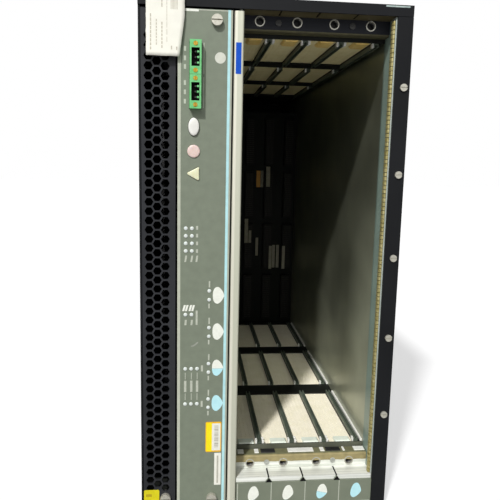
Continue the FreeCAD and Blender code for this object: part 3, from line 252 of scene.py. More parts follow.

# %% [markdown]
# ## Metals
# The divider's front strip is an aluminium extrusion with a satin, slightly warm anodised skin, drawn along
# Z; its bands, pale on the left and darker to the right, are painted shading of a rounded bar lit from the
# left. The card rails are brushed along X, so their streaks lie the other way. The upper one is drawn nearly
# black, which is painted shade under the top lip, with a brownish band on the lip's underside that is a
# painted reflection of the cream screens. The cage lining is zinc plated sheet with a grey-green passivated
# layer: it mirrors the pale floor softly. Its metal share drops near the floor and at the low front, which
# makes the sunlit wall brighter there, a painted pool of light, and on the front fold. Screws are nickel,
# bright at the front, bushes dull chrome, and the terminal screws bare brass. The rail screws are drawn
# darker towards the top: painted shade.

# %% Aluminium
trim_metal = finish("satin anodised aluminium", "#f0f0f0", "#ffffff", 0.45, 0.3, patch=8, grain=0.7,
                    height=0.008, along=(1, 1, 0.03))
# Bands pale on the left and darker to the right: painted shading of a rounded bar lit from the left.
banded(trim_metal, "X", -36, -26, (-36, "#dedccb"), (-32.4, "#c9cab7"), (-27.9, "#b3b5a2"))
dress(trim_metal, "divider_trim")
rail_metal = finish("brushed aluminium", "#c2c5bb", "#fafbf4", 0.38, 0.2, patch=2.5, grain=1.1,
                    height=0.02, along=(0.02, 1, 1))
dress(rail_metal, "lower_rail")
shaded_rail_metal = finish("upper rail aluminium in painted shade", "#d0d0d0", "#ffffff", 0.5, patch=4, grain=1.1,
                       height=0.02, along=(0.02, 1, 1), mirror=0.2)
# Bands along Z: a dark face and a near-black lip front are painted shade under the top lip, and the brownish
# strip on the lip's underside is a painted reflection of the cream screens.
banded(shaded_rail_metal, "Z", 420, 440, (420, "#26282e"), (434.2, "#5e563c"), (434.5, "#0c0c0e"))
dress(shaded_rail_metal, "upper_rail")
print("aluminium done")

# %% Cage lining
lining = finish("passivated zinc sheet", "#e2e2e2", "#ffffff", 0.32, patch=45, grain=2.5)
banded(lining, "Y", -312, 320, (-312, "#7f867c"), (-296, "#93a79b"), (-281, "#b9bca3"))
tree = lining.node_tree
place = add(tree, "ShaderNodeSeparateXYZ", {"Vector": here(tree)}).outputs
# A lower metal share near the floor and at the low front lets the sun light the wall more there: a painted
# pool of light.
painted_glow_share = between(tree, place["Z"], 170, 300, 0.4)
sheen = between(tree, place["Z"], 55, 170, 0.45, 0.87)
for share in (between(tree, place["Y"], -284, -279, 0.1), between(tree, place["Y"], -255, -200, painted_glow_share)):
    sheen = add(tree, "ShaderNodeMath", {0: sheen, 1: share}, operation="MULTIPLY")
feed(tree, "Metallic", sheen)
dress(lining, "right_inner_wall")
print("lining done")

# %% Plated sheet and screws
zinc = finish("zinc plated sheet", "#8d918a", "#a1a59d", 0.45, 0.6, patch=12, grain=2)
dress(zinc, "divider_wall", "midplane_frame", "power_bay_shelves", "fan_tray_frame", "craft_posts")
nickel = finish("dull nickel plate", "#86857d", "#a09f95", 0.36, 1.0, patch=3, grain=0.4, height=0.006)
dress(nickel, "fan_tray_screws", "filter_screws", "power_blank_screws", "case_screws")
bright_nickel = finish("bright nickel plate", "#b4b1a4", "#c6c3b6", 0.35, 0.5, patch=3, grain=0.4,
                       height=0.006)
dress(bright_nickel, "flange_screws", "front_captive_screws")
chrome = finish("dull chrome", "#b3b1a6", "#c4c2b7", 0.25, 0.5, patch=3, grain=0.4, height=0.004)
dress(chrome, "rail_bushes")
chrome_in_painted_shade_at_top = finish("dull chrome in painted shade at the top", "#dcdcdc", "#ffffff", 0.3, 0.5, patch=3, grain=0.4,
                      height=0.004)
# Darker from mid height up: painted shade on the upper rail's screws.
banded(chrome_in_painted_shade_at_top, "Z", 0, 443, (0, "#c2c4bd"), (221, "#3a3a38"))
dress(chrome_in_painted_shade_at_top, "rail_screws")
brass = finish("bare brass", "#a8842a", "#c29f48", 0.34, 1.0, patch=2, grain=0.3, height=0.004)
dress(brass, "terminal_screws", "ground_studs")
dull_tin = finish("dull tin plate", "#3c3d3a", "#4c4d4a", 0.5, 1.0, patch=2, grain=0.3, height=0.004)
dress(dull_tin, "terminal_pins")
print("plating done")

# %% [markdown]
# ## Plastics, boards and lamps
# Card guides are grey-green moulded polycarbonate, fans are black glass-filled plastic, and clips are
# white nylon. The terminal blocks are a bright green polyamide. Lamp lenses scatter light inside, so they
# get a little subsurface weight. The boards wear a dark green solder mask whose small pads are Voronoi
# cells on a 2.5 mm raster.

# %% Plastics
guide_plastic = finish("moulded polycarbonate", "#4a5247", "#5b6457", 0.45, patch=15)
dress(guide_plastic, "lower_card_guides", "upper_card_guides")
white_nylon = finish("white nylon", "#dddcd4", "#ecebe4", 0.45)
dress(white_nylon, "guide_clips", "wall_foot_strip")
green_polyamide = finish("green polyamide", "#5fb56c", "#79c985", 0.4, patch=4, grain=0.4)
dress(green_polyamide, "alarm_terminal_lower", "alarm_terminal_upper")
black_plastic = finish("black glass-filled plastic", "#141414", "#1f1f1f", 0.5, patch=10, height=0.02)
dress(black_plastic, "cutoff_switch", "fan_housings", "fan_rotor_1", "fan_rotor_2", "fan_rotor_3")
connector_black = finish("matt black connector plastic", "#0a0a08", "#10100d", 0.6, patch=10, height=0.02,
                         mirror=0.15)
dress(connector_black, "midplane_connectors")
lamp_lens = finish("frosted lamp lens", "#d5d9d2", "#e6e9e2", 0.35, patch=2, grain=0.3, height=0.004)
feed(lamp_lens.node_tree, "Subsurface Weight", 0.1)
dress(lamp_lens, "status_leds")

solder_mask = finish("dark solder mask", "#070a06", "#0d120b", 0.5, patch=20, grain=1, mirror=0.12)
tree = solder_mask.node_tree
raster = add(tree, "ShaderNodeTexVoronoi", {"Vector": here(tree), "Scale": 1 / (2.5 * MM),
                                            "Randomness": 0.15})
pads = add(tree, "ShaderNodeValToRGB", {"Fac": raster})
stops(pads, (0.18, "#2a2918"), (0.22, "#070a06"))
mixed = add(tree, "ShaderNodeMix", {"Factor": 1.0, 6: pads, 7: tree.nodes["Tint"]}, data_type="RGBA",
            blend_type="LIGHTEN")
feed(tree, "Base Color", mixed.outputs[2])
dress(solder_mask, "craft_board", "midplane_board", "power_backplane")
print("plastics and boards done")

# %% [markdown]
# ## Making pieces from outlines
# Most of the small front pieces are outlines with a little depth: a button, a lens, a sticker, a printed
# mark. Each is a stack of rings. Two rings make a plate, and more rings with smaller outlines make a
# rounded or domed front. Stacking rings keeps every shell closed, which a bevel on thin paint might not.

# %% Stacks of rings
def stack(mesh, rings):
    """Adds a closed shell whose rings, each a list of points in mm, are joined in order."""
    rows = [[mesh.verts.new(Vector(point) * MM) for point in ring] for ring in rings]
    for low, high in zip(rows, rows[1:]):
        for i in range(len(low)):
            j = (i + 1) % len(low)
            mesh.faces.new((low[i], low[j], high[j], high[i]))
    mesh.faces.new(reversed(rows[0]))
    mesh.faces.new(rows[-1])


def facing(outline, y, share=1.0):
    """An outline of X and Z points as a ring at depth y, drawn in towards its middle by a share."""
    x = sum(point[0] for point in outline) / len(outline)
    z = sum(point[1] for point in outline) / len(outline)
    return [(x + (a - x) * share, y, z + (b - z) * share) for a, b in outline]


def plate(mesh, outline, back, front):
    """Adds a flat piece with an outline of X and Z points between two depths."""
    stack(mesh, [facing(outline, back), facing(outline, front)])


def rounded(left, low, right, high, radius=0.5, steps=4):
    """A rectangle with round corners, as X and Z points."""
    points = []
    for quarter, (x, z) in enumerate(((right - radius, high - radius), (left + radius, high - radius),
                                      (left + radius, low + radius), (right - radius, low + radius))):
        for i in range(steps + 1):
            angle = math.pi / 2 * (quarter + i / steps)
            points.append((x + radius * math.cos(angle), z + radius * math.sin(angle)))
    return points


def oval(x, z, half_width, half_height, steps=32):
    """An ellipse round a middle, as X and Z points."""
    angles = [2 * math.pi * i / steps for i in range(steps)]
    return [(x + half_width * math.cos(a), z + half_height * math.sin(a)) for a in angles]


def piece(name, mesh, material, body="chassis", replaces=(), smooth=False):
    """Turns a bmesh into a piece of the object that rides on a body."""
    bmesh.ops.recalc_face_normals(mesh, faces=mesh.faces)
    data = bpy.data.meshes.new(name)
    mesh.to_mesh(data)
    mesh.free()
    data.materials.append(material)
    if smooth:
        data.shade_smooth()
    return settle(name, data, body, replaces)


def settle(name, data, body="chassis", replaces=()):
    """Makes a mesh an object that rides on its body and stands for the CAD nodes it replaces."""
    made = bpy.data.objects.new(name, data)
    scene.collection.objects.link(made)
    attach(made, body)
    if replaces:
        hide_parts(*replaces)
    print(name, len(data.polygons), "faces on", body)
    return made


print("an oval has", len(oval(0, 0, 1, 1)), "points")

# %% [markdown]
# ## Button and lamps
# The alarm cut-off is an oval key with a rounded rim and a flat middle. Below it are a round red lamp and a
# triangular amber one, both unlit, so their frosted caps look almost white. CAD has them with flat fronts for
# the mechanism, and these domed caps stand for them.

# %% Domed caps
FRONT = -311.0
DOME = ((0.5, 1.0), (0.78, 0.96), (0.93, 0.86), (1.0, 0.66), (1.0, 0.1))


def dome(name, outline, proud, back, material, body, node):
    """A cap that rises from back to proud mm before the panel, in rings of a share of height and width."""
    mesh = bmesh.new()
    rings = [facing(outline, FRONT - proud * rise, width) for rise, width in DOME]
    stack(mesh, [facing(outline, back)] + rings)
    return piece(name, mesh, material, body, [node], smooth=True)


button_acetal = finish("white acetal", "#dcdbd4", "#e9e8e1", 0.35, patch=4, grain=0.4, height=0.006)
red_lens = finish("frosted red polycarbonate", "#dcbdb4", "#e6cbc2", 0.32, patch=3, grain=0.3, height=0.004)
amber_lens = finish("frosted amber polycarbonate", "#ded9b2", "#e8e3c0", 0.32, patch=3, grain=0.3,
                    height=0.004)
for lens_finish in (red_lens, amber_lens):
    feed(lens_finish.node_tree, "Subsurface Weight", 0.1)

dome("cutoff_key", oval(-66.6, 342.3, 4.4, 7.15), 2.15, -308.4, button_acetal, "cutoff_button",
     "alarm_cutoff_button")
dome("red_lamp_cap", oval(-66.6, 322.9, 5.15, 5.15), 1.15, -309.5, red_lens, "chassis",
     "red_alarm_lens")
TIP_RADIUS = 1.05
triangle = []
for x, z, start in ((-62.9, 309.2, -30), (-70.6, 304.9, 120), (-62.9, 300.6, 240)):
    for j in range(9):
        angle = math.radians(start) + math.radians(120) * j / 8
        triangle.append((x + TIP_RADIUS * math.cos(angle), z + TIP_RADIUS * math.sin(angle)))
dome("amber_lamp_cap", triangle, 1.15, -309.5, amber_lens, "chassis", "amber_alarm_lens")

# %% [markdown]
# ## Inside the terminal blocks
# Each green block has a deep mouth for a plug. Its inside is in shadow, and a thin black cup lines it as
# painted shade; short green ribs stand on its right wall between the pins: they key the plug. The cup is
# one stack that goes up the outside, over the lip and down the inside.

# %% Terminal mouths
HALF_WIDTH, HALF_HEIGHT, WALL = 3.18, 6.98, 0.28
mouths, ribs = bmesh.new(), bmesh.new()
for node in ("alarm_terminal_lower", "alarm_terminal_upper"):
    low, high = (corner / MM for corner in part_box(node))
    x, z = (low.x + high.x) / 2, (low.z + high.z) / 2
    outer, inner = (rounded(x - HALF_WIDTH + wall, z - HALF_HEIGHT + wall, x + HALF_WIDTH - wall,
                            z + HALF_HEIGHT - wall, 0.1) for wall in (0, WALL))
    stack(mouths, [facing(outer, FRONT - 0.1), facing(outer, low.y + 0.5), facing(inner, low.y + 0.5),
                   facing(inner, FRONT - 0.4)])
    for up in (-4.2, 0.0, 4.2):
        rib = rounded(x + 1.2, z + up - 0.7, x + 2.95, z + up + 0.7, 0.2)
        plate(ribs, rib, FRONT - 0.3, low.y + 1.2)
# The black lining is painted shade inside the mouths.
mouth_shade = finish("black lining as painted shade", "#060606", "#0c0c0c", 0.6, patch=4, grain=0.4, mirror=0.15)
piece("terminal_mouths", mouths, mouth_shade)
piece("terminal_ribs", ribs, green_polyamide)

# %% [markdown]
# ## Lamp lenses and dark threads
# Each status lamp ends in a small frosted lens, a shallow dome a little wider than its hole. The bushes that
# take the cards' screws get a thread behind a bright mouth, drawn near black as painted shade inside the
# bore.
# Both repeat at places that CAD already knows, so the middle of each loose solid of a node is read from its
# mesh, and a lens or a thread is built there. A thread is drawn as a cup with ridges: at this size its pitch
# shows, and its slope doesn't.

# %% Lenses and threads
def heads(node):
    """The middle of each loose solid of a CAD node, in mm, in order."""
    copy = bmesh.new()
    copy.from_mesh(nodes[node].data)
    bmesh.ops.remove_doubles(copy, verts=copy.verts, dist=0.001 * MM)
    left, found = set(copy.verts), []
    while left:
        reach = [left.pop()]
        for vertex in reach:
            for edge in vertex.link_edges:
                other = edge.other_vert(vertex)
                if other in left:
                    left.discard(other)
                    reach.append(other)
        points = [v.co / MM for v in reach]
        found.append(tuple((min(p[i] for p in points) + max(p[i] for p in points)) / 2 for i in range(3)))
    copy.free()
    return sorted(found)


LENS_RADIUS, LENS = 1.6, ((-0.05, 1.0), (0.3, 1.0), (0.5, 0.8), (0.6, 0.4))
mesh = bmesh.new()
for x, _, z in heads("status_leds"):
    edge = oval(x, z, LENS_RADIUS, LENS_RADIUS, 20)
    stack(mesh, [facing(edge, FRONT - rise, width) for rise, width in LENS])
piece("lamp_lenses", mesh, lamp_lens, replaces=["status_leds"], smooth=True)

BORE_RADIUS, HALF_PITCH = 3.26, 0.5
# The thread's near-black colour is painted shade inside the bores.
bore_shade_steel = finish("near-black steel as painted bore shade", "#08080a", "#101012", 0.45, patch=3, grain=0.4, height=0.004)
mesh = bmesh.new()
for x, y, z in heads("rail_bushes"):
    bore = oval(x, z, BORE_RADIUS, BORE_RADIUS, 24)
    start = y - 0.9
    ridges = [facing(bore, start + HALF_PITCH * (i + 1), 0.8 + 0.08 * (i % 2)) for i in range(7)]
    stack(mesh, [facing(bore, start + 4.2), facing(bore, start)] + ridges)
piece("bush_threads", mesh, bore_shade_steel)

# %% [markdown]
# ## Print and stickers
# The panel carries white printed marks beside its lamps, an egg-shaped sign for each slot, and cell lines
# on the label plate. Lettering is left out: each run of it is a plain bar. Stickers are thin vinyl with
# round corners. All are closed plates a few hundredths of a millimetre thick, so they show from any side
# without flickering in the paint under them.

# %% Inks and vinyl
white_ink = finish("white screen ink", "#dfe1d6", "#e9ebe0", 0.55, patch=2, grain=0.3, height=0.004)
grey_ink = finish("thin grey screen ink", "#aaae9f", "#b8bcad", 0.55, patch=1.5, grain=0.3, height=0.004)
blue_ink = finish("pale blue screen ink", "#aedde4", "#b9e5ea", 0.5, patch=3, grain=0.3, height=0.004)
yellow_vinyl = finish("yellow vinyl", "#efdb00", "#f6e30a", 0.4, patch=8, height=0.006)
white_vinyl = finish("white vinyl", "#dfded2", "#e8e7db", 0.42, patch=6, height=0.006)
blue_vinyl = finish("blue vinyl", "#0c48b2", "#1452be", 0.38, height=0.006, mirror=0.2)
label_grey = finish("grey label ink", "#a9a698", "#b8b5a7", 0.55, patch=2, grain=0.3, height=0.003)
SUNK = 0.02


def printed(name, outlines, material, surface, thick=0.06):
    """Thin plates on a face whose depth is surface: each a little proud, its back just in the face."""
    mesh = bmesh.new()
    for outline in outlines:
        plate(mesh, outline, surface + SUNK, surface - thick)
    return piece(name, mesh, material)


def bar(x, z, width, height, slant=0.0):
    """A small upright bar as X and Z points, leaning by slant mm."""
    return [(x + side * width / 2 + up * slant / 2, z + up * height / 2)
            for side, up in ((1, 1), (-1, 1), (-1, -1), (1, -1))]


print("inks and vinyl are mixed")

# %% Printed marks on the status panel
marks = [bar(x + d, 192.4, 1.75, 5.2, 1.4) for x in (-72.7, -67.4) for d in (-1.15, 1.15)]
marks += [rounded(-77.0, 430.6, -63.2, 432.4, 0.3)]
printed("printed_marks", marks, white_ink, FRONT)
faint = [bar(x, 234.6, 1.5, 5.4, 0.8) for x in (-72.6, -67.6, -63.4)]
faint += [bar(-63.3, z, 1.6, 3.0) for z in (260.6, 254.1, 247.6, 241.1)]
faint += [bar(x, 179.8, 1.7, 4.6, 0.4) for x in (-72.5, -67.4)]
faint += [bar(-63.2, 184.0, 1.6, 12.5)]
faint += [bar(x, 123.0, 2.0, 10.2) for x in (-72.6, -67.4, -62.4)]
faint += [bar(x, z, 0.6, 6.0) for x in (-72.6, -67.4, -62.4) for z in (132.2, 113.6)]
faint += [bar(-58.3, z, 1.7, 5.4) for z in (139.0, 106.8)]
faint += [bar(-73.8, z, 1.7, 3.6) for z in (402.5, 395.3, 388.8, 376.5, 369.3, 362.1)]
faint += [bar(-58.9, z, 0.6, 24) for z in (395.4, 369.2)]
faint += [bar(-51.8, 431.9, 23, 0.7)]
for z in (203.3, 171.6, 139.4, 107.3):
    faint += [bar(-52.6, z + 9.6, 1.2, 5.4), bar(-52.8, z - 9.2, 1.2, 4.0)]
printed("faint_marks", faint, grey_ink, FRONT)
# A pale mark in a short arc lies on the enamel between the second and the third slot sign from below
crescent_outline = [(-67.8, 158.5), (-66.0, 158.5), (-64.2, 159.5), (-62.5, 161.0), (-61.6, 162.1), (-61.9, 162.8),
         (-62.9, 162.4), (-64.5, 161.0), (-66.1, 159.9), (-67.8, 159.3)]
crescent_mark_enamel = finish("pale crescent mark enamel", "#8b8f84", "#94988c", 0.5, patch=2, height=0.004)
printed("panel_crescent_mark", [crescent_outline], crescent_mark_enamel, FRONT, 0.03)

# %% [markdown]
# The slot signs are like a plectrum: round on the left, with a blunt point on the right. A superellipse has
# one number for that, from a diamond at 1 over an ellipse at 2 to a box, and here each half has its own.
# One sign is half white and half blue, so an outline can be cut at a height.

# %% Slot signs
def egg(x, z, turn=0.0, low=-1.0, high=1.0, steps=48):
    """A sign 9.6 mm wide and 14.5 mm high, turned by an angle, kept between two shares of its height."""
    points = []
    for i in range(steps):
        angle = 2 * math.pi * i / steps
        across, up = math.cos(angle), math.sin(angle)
        half, power = (5.3, 1.45) if across > 0 else (4.3, 2.4)
        reach = (abs(across) ** power + abs(up) ** power) ** (-1 / power)
        a = half * across * reach
        b = 7.25 * min(max(up * reach, low), high)
        points.append((x + a * math.cos(turn) - b * math.sin(turn),
                       z + a * math.sin(turn) + b * math.cos(turn)))
    return points


PANEL_EGGS = [(-45.4, z) for z in (203.4, 171.7, 139.4, 107.3)]
PLATE_EGGS = [(x, 20.3) for x in (-11.5, 20.0, 51.3, 82.9)]
for name, spots, turn in (("panel", PANEL_EGGS, 0), ("plate", PLATE_EGGS, math.radians(-14))):
    white = [egg(*spots[0], turn), egg(*spots[1], turn), egg(*spots[2], turn, low=-0.08)]
    blue = [egg(*spots[2], turn, high=-0.1), egg(*spots[3], turn)]
    printed(f"{name}_signs_white", white, white_ink, FRONT)
    printed(f"{name}_signs_blue", blue, blue_ink, FRONT)

lines = [bar(x, 19.9, 0.7, 21.4) for x in (-25.6, 4.9, 35.9, 67.3)]
lines += [bar(35.5, 9.7, 122, 0.7)]
printed("cell_lines", lines, grey_ink, FRONT)

# %% Stickers
VENT_SETBACK = 2.0
VENT_FRONT = FRONT + VENT_SETBACK
amber_vinyl = finish("golden yellow vinyl", "#e6ac08", "#f0bd14", 0.4, height=0.006)
lemon_vinyl = finish("lemon yellow vinyl", "#cdc200", "#d8cd0a", 0.4, patch=8, height=0.006)
printed("yellow_corner_sticker", [rounded(-108.5, 10.8, -95.1, 26.1, 1.2)], lemon_vinyl, VENT_FRONT, 0.12)
printed("yellow_sticker", [rounded(-54.7, 61.9, -40.9, 89.9, 1.2)], amber_vinyl, FRONT, 0.1)
printed("yellow_sticker_band", [rounded(-54.0, 62.7, -49.2, 89.1, 0.6)], yellow_vinyl, FRONT, 0.13)
printed("yellow_sticker_field", [rounded(-49.1, 63.2, -41.7, 88.5, 0.4)], white_vinyl, FRONT, 0.14)
printed("white_sticker", [rounded(-46.8, 30.3, -40.9, 60.7, 0.4)], white_vinyl, FRONT, 0.1)
# The round sticker near the top is a darker copy of the white vinyl: painted shade.
white_vinyl_in_shade = finish("white vinyl in painted shade", "#c6c7ba", "#d0d1c4", 0.5, patch=4, height=0.006)
printed("round_sticker", [oval(-45.9, 396.3, 4.35, 4.35)], white_vinyl_in_shade, FRONT, 0.1)
printed("blue_label", [rounded(-33.6, 384.6, -29.2, 408.7, 0.3)], blue_vinyl, FRONT, 0.12)
fields = [bar(-45.2, 66.5 + 1.5 * i, 3.6, 0.6 + 0.3 * (i % 3)) for i in range(14)]
fields += [bar(-43.9, 45.2, 1.4, 26)]
printed("sticker_fields", fields, label_grey, FRONT - 0.1, 0.08)
# A pale strip on the top front edge: a painted highlight where the rounded edge catches the light.
top_edge_highlight = finish("pale top edge as painted highlight", "#8fa19d", "#b4c2bd", 0.45, 0.3, patch=4)
printed("top_edge_highlight_strip", [bar(97.0, 441.7, 20.0, 1.2)], top_edge_highlight, FRONT, 0.06)
fields = [bar(-104.5, 16.5, 4.2, 0.9), bar(-103.5, 14.2, 6.0, 0.9), bar(-104.2, 21.0, 5.0, 2.6)]
ochre_ink = finish("ochre label ink", "#a89400", "#b5a00c", 0.5, patch=2, grain=0.3, height=0.003)
printed("corner_sticker_fields", fields, ochre_ink, VENT_FRONT - 0.1, 0.08)

# %% [markdown]
# ## The paper tag
# A slip of paper is folded over the top front edge and hangs in front of the panels, resting on a screw
# head. Paper bends but doesn't stretch, so its side view is one line: back along the top, round the edge,
# down, and a slight curl at the foot. The line is swept across the width, and the edges waver a little.

# %% Tag
CASE_TOP, BEND_END, HANG = 443.0, 441.3, 45.6
TAG_LEFT, TAG_RIGHT, TAG_DROP = -103.9, -74.1, 47.6
TAPER, TAPER_START, BELLY = 4.0, 0.37, 0.25
DOWN, ACROSS = 15, 10  # steps of the mesh


def tag_drop(z):
    """How far down the tag a height lies, from 0 at the fold to 1 at the foot."""
    return max(0.0, CASE_TOP - z) / TAG_DROP


def tag_right(z):
    """The tag's right edge, which runs inwards on its lower part."""
    return TAG_RIGHT - TAPER * max(0.0, (tag_drop(z) - TAPER_START) / (1 - TAPER_START))


def tag_depth(z):
    """The curled line of the hanging part."""
    return -313.45 - 1.3 * max(0.0, (BEND_END - z) / HANG) ** 2.5


paper = finish("white paper", "#e7e5d9", "#efede1", 0.75, patch=9, grain=0.4, height=0.03)
mesh = bmesh.new()
line = [(-303.2, 443.2), (-306, 443.3), (-309.5, 443.3), (-311.4, 443.1), (-312.6, 442.5), (-313.3, BEND_END)]
line += [(tag_depth(z), z) for z in (BEND_END - HANG * (i + 1) / DOWN for i in range(DOWN))]
rows = []
for y, z in line:
    drop = tag_drop(z)
    left = TAG_LEFT + 0.35 * noise.noise(Vector((0, 0, z * 0.25)))
    right = tag_right(z) + 0.2 * noise.noise(Vector((7, 0, z * 0.3)))
    rows.append([mesh.verts.new(Vector((left + (right - left) * i / ACROSS,
                                        y - BELLY * drop * math.sin(math.pi * i / ACROSS),
                                        z + 0.5 * drop * noise.noise(Vector((i * 0.3, 3, 0))))) * MM)
                 for i in range(ACROSS + 1)])
for upper, under in zip(rows, rows[1:]):
    for i in range(ACROSS):
        mesh.faces.new((upper[i], upper[i + 1], under[i + 1], under[i]))
tag = piece("folded_tag", mesh, paper, replaces=["paper_tag"], smooth=True)
thickness = tag.modifiers.new("paper_thickness", "SOLIDIFY")
thickness.thickness = 0.2 * MM
thickness.offset = 0

# %% [markdown]
# Faded print covers the tag. It is drawn as fields only: broken columns of dashes and a block of bars, each
# a thin plate that keeps to the paper's curve at its own height.

# %% Tag print
faded_ink = finish("faded grey print", "#b5ae9c", "#c6c0b0", 0.7, patch=2, grain=0.3, height=0.003)


def dashes(x, low, high, width, long, gap):
    """A broken column of dashes at x, as centres, widths and heights."""
    step = long + gap
    return [(x, high - long / 2 - i * step, width, long) for i in range(int((high - low) / step))]


columns = dashes(-100.3, 399, 427, 0.9, 2.6, 0.5) + dashes(-95.9, 401, 423, 0.8, 1.9, 0.6)
columns += dashes(-91.6, 400, 421, 0.9, 2.2, 0.7) + dashes(-91.6, 430, 439, 0.9, 3.2, 0.6)
columns += dashes(-87.8, 400, 439, 0.4, 5.4, 0.4) + [(-84.2, 401.6, 0.9, 3.6), (-80.2, 401.3, 0.9, 3.2)]
columns += [(-84.6 + 0.95 * i, 434.6, 0.45, 7.8) for i in range(6)]
mesh = bmesh.new()
for x, z, width, height in columns:
    across = (x - TAG_LEFT) / (tag_right(z) - TAG_LEFT)
    y = tag_depth(z) - BELLY * tag_drop(z) * math.sin(math.pi * across)
    plate(mesh, bar(x, z, width, height), y + 0.1, y - 0.16)
piece("tag_print", mesh, faded_ink)

# %% [markdown]
# ## Growing what repeats
# Perforations, spring fingers, knurls and contact rows are one small shape many times over. Geometry Nodes
# make them: a tree takes named sizes, copies the shape to each spot, turns the copies into real faces and
# sets the finish. The spots are either a grid in the tree or the vertices of the object that carries it.
# The result is then stored as a plain mesh.

# %% Trees and growing
def recipe(name, sizes):
    """A geometry tree with the carrier's spots, named sizes and a finish as inputs."""
    tree = bpy.data.node_groups.new(name, "GeometryNodeTree")
    for label, kind in {"Spots": "Geometry", **sizes, "Finish": "Material"}.items():
        tree.interface.new_socket(label, in_out="INPUT", socket_type="NodeSocket" + kind)
    tree.interface.new_socket("Pieces", in_out="OUTPUT", socket_type="NodeSocketGeometry")
    return tree, add(tree, "NodeGroupInput").outputs


def serve(tree, given, shapes):
    """Ends a tree: real faces, the finish, and the output."""
    real = add(tree, "GeometryNodeRealizeInstances", {"Geometry": shapes})
    coated = add(tree, "GeometryNodeSetMaterial", {"Geometry": real, "Material": given["Finish"]})
    add(tree, "NodeGroupOutput", {"Pieces": coated})


def grow(name, tree, values, spots=(), body="chassis", replaces=()):
    """Runs a tree on a carrier whose vertices are the spots, in mm, and settles the result as a piece."""
    seed = bpy.data.meshes.new(name + "_spots")
    seed.from_pydata([Vector(spot) * MM for spot in spots], [], [])
    carrier = bpy.data.objects.new(name + "_carrier", seed)
    scene.collection.objects.link(carrier)
    modifier = carrier.modifiers.new("growth", "NODES")
    modifier.node_group = tree
    for item in tree.interface.items_tree:
        if item.in_out == "INPUT" and item.name in values:
            modifier[item.identifier] = values[item.name]
    bpy.context.view_layer.update()
    grown = carrier.evaluated_get(bpy.context.evaluated_depsgraph_get())
    data = bpy.data.meshes.new_from_object(grown)
    bpy.data.objects.remove(carrier)
    return settle(name, data, body, replaces)


print("recipes can grow")

# %% [markdown]
# ## Perforated air screens
# Cream coated sheets with small holes lie under the floor guides and over the ceiling guides: air passes,
# sparks don't. One cell is a square with a hexagonal hole, filled between the two curves. A grid of cells,
# merged at their borders and given a thickness, is the whole sheet. The real holes are finer; 1.5 mm at a
# 4 mm pitch is as fine as the mesh should carry.

# %% Recipe of a perforated sheet
perforated, given = recipe("perforated sheet", {
    "Columns": "Int", "Rows": "Int", "Span": "Vector", "Cell": "Vector", "Hole": "Float", "Gauge": "Vector",
    "Place": "Vector"})
tree = perforated
span = add(tree, "ShaderNodeSeparateXYZ", {"Vector": given["Span"]}).outputs
cell = add(tree, "ShaderNodeSeparateXYZ", {"Vector": given["Cell"]}).outputs
grid = add(tree, "GeometryNodeMeshGrid", {"Size X": span["X"], "Size Y": span["Y"],
                                          "Vertices X": given["Columns"], "Vertices Y": given["Rows"]})
border = add(tree, "GeometryNodeCurvePrimitiveQuadrilateral", {"Width": cell["X"], "Height": cell["Y"]})
hole = add(tree, "GeometryNodeCurvePrimitiveCircle", {"Resolution": 6, "Radius": given["Hole"]})
both = add(tree, "GeometryNodeJoinGeometry", {"Geometry": [border, hole]})
filled = add(tree, "GeometryNodeFillCurve", {"Curve": both})
copies = add(tree, "GeometryNodeInstanceOnPoints", {"Points": grid, "Instance": filled})
sheet = add(tree, "GeometryNodeRealizeInstances", {"Geometry": copies})
welded = add(tree, "GeometryNodeMergeByDistance", {"Geometry": sheet, "Distance": 0.02 * MM})
raised = add(tree, "GeometryNodeExtrudeMesh", {"Mesh": welded, "Offset": given["Gauge"],
                                               "Offset Scale": 1.0, "Individual": False}, mode="FACES")
underside = add(tree, "GeometryNodeFlipFaces", {"Mesh": welded})
closed = add(tree, "GeometryNodeJoinGeometry", {"Geometry": [raised, underside]})
joined = add(tree, "GeometryNodeMergeByDistance", {"Geometry": closed, "Distance": 0.02 * MM})
placed = add(tree, "GeometryNodeTransform", {"Geometry": joined, "Translation": given["Place"]})
serve(tree, given, placed)
print(len(tree.nodes), "nodes in the recipe")

# %% Screens
HOLE_PITCH, HOLE_RADIUS = 4.0, 0.75
cream = finish("cream coated sheet", "#f8f0d6", "#fff7e2", 0.55, patch=12, height=0.015)
# The ceiling screen gets a warmer, more saturated copy of the cream: painted warm bounce light in its shade.
cream_in_warm_shade = finish("cream sheet in painted warm shade", "#f6e6b0", "#fff2c4", 0.55, patch=12, height=0.015)
for name, node, coat in (("lower_air_screen", "lower_screen", cream),
                         ("upper_air_screen", "upper_screen", cream_in_warm_shade)):
    low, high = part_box(node)
    width, length, gauge = high - low
    columns, rows = round(width / (HOLE_PITCH * MM)), round(length / (HOLE_PITCH * MM))
    cell_size = (width / columns, length / rows, 0)
    grow(name, perforated, {
        "Columns": columns, "Rows": rows, "Span": (width - cell_size[0], length - cell_size[1], 0),
        "Cell": cell_size, "Hole": HOLE_RADIUS * MM, "Gauge": (0, 0, gauge), "Finish": coat,
        "Place": ((low.x + high.x) / 2, (low.y + high.y) / 2, low.z)}, replaces=[node])

# %% [markdown]
# ## Spring fingers of the side gasket
# Down the right edge of the card opening runs a gold coloured contact strip: a row of bowed beryllium
# copper fingers, clipped to a pale carrier. Each finger is a short rounded bar, and a line of spots, one
# for each 3.6 mm, carries them.

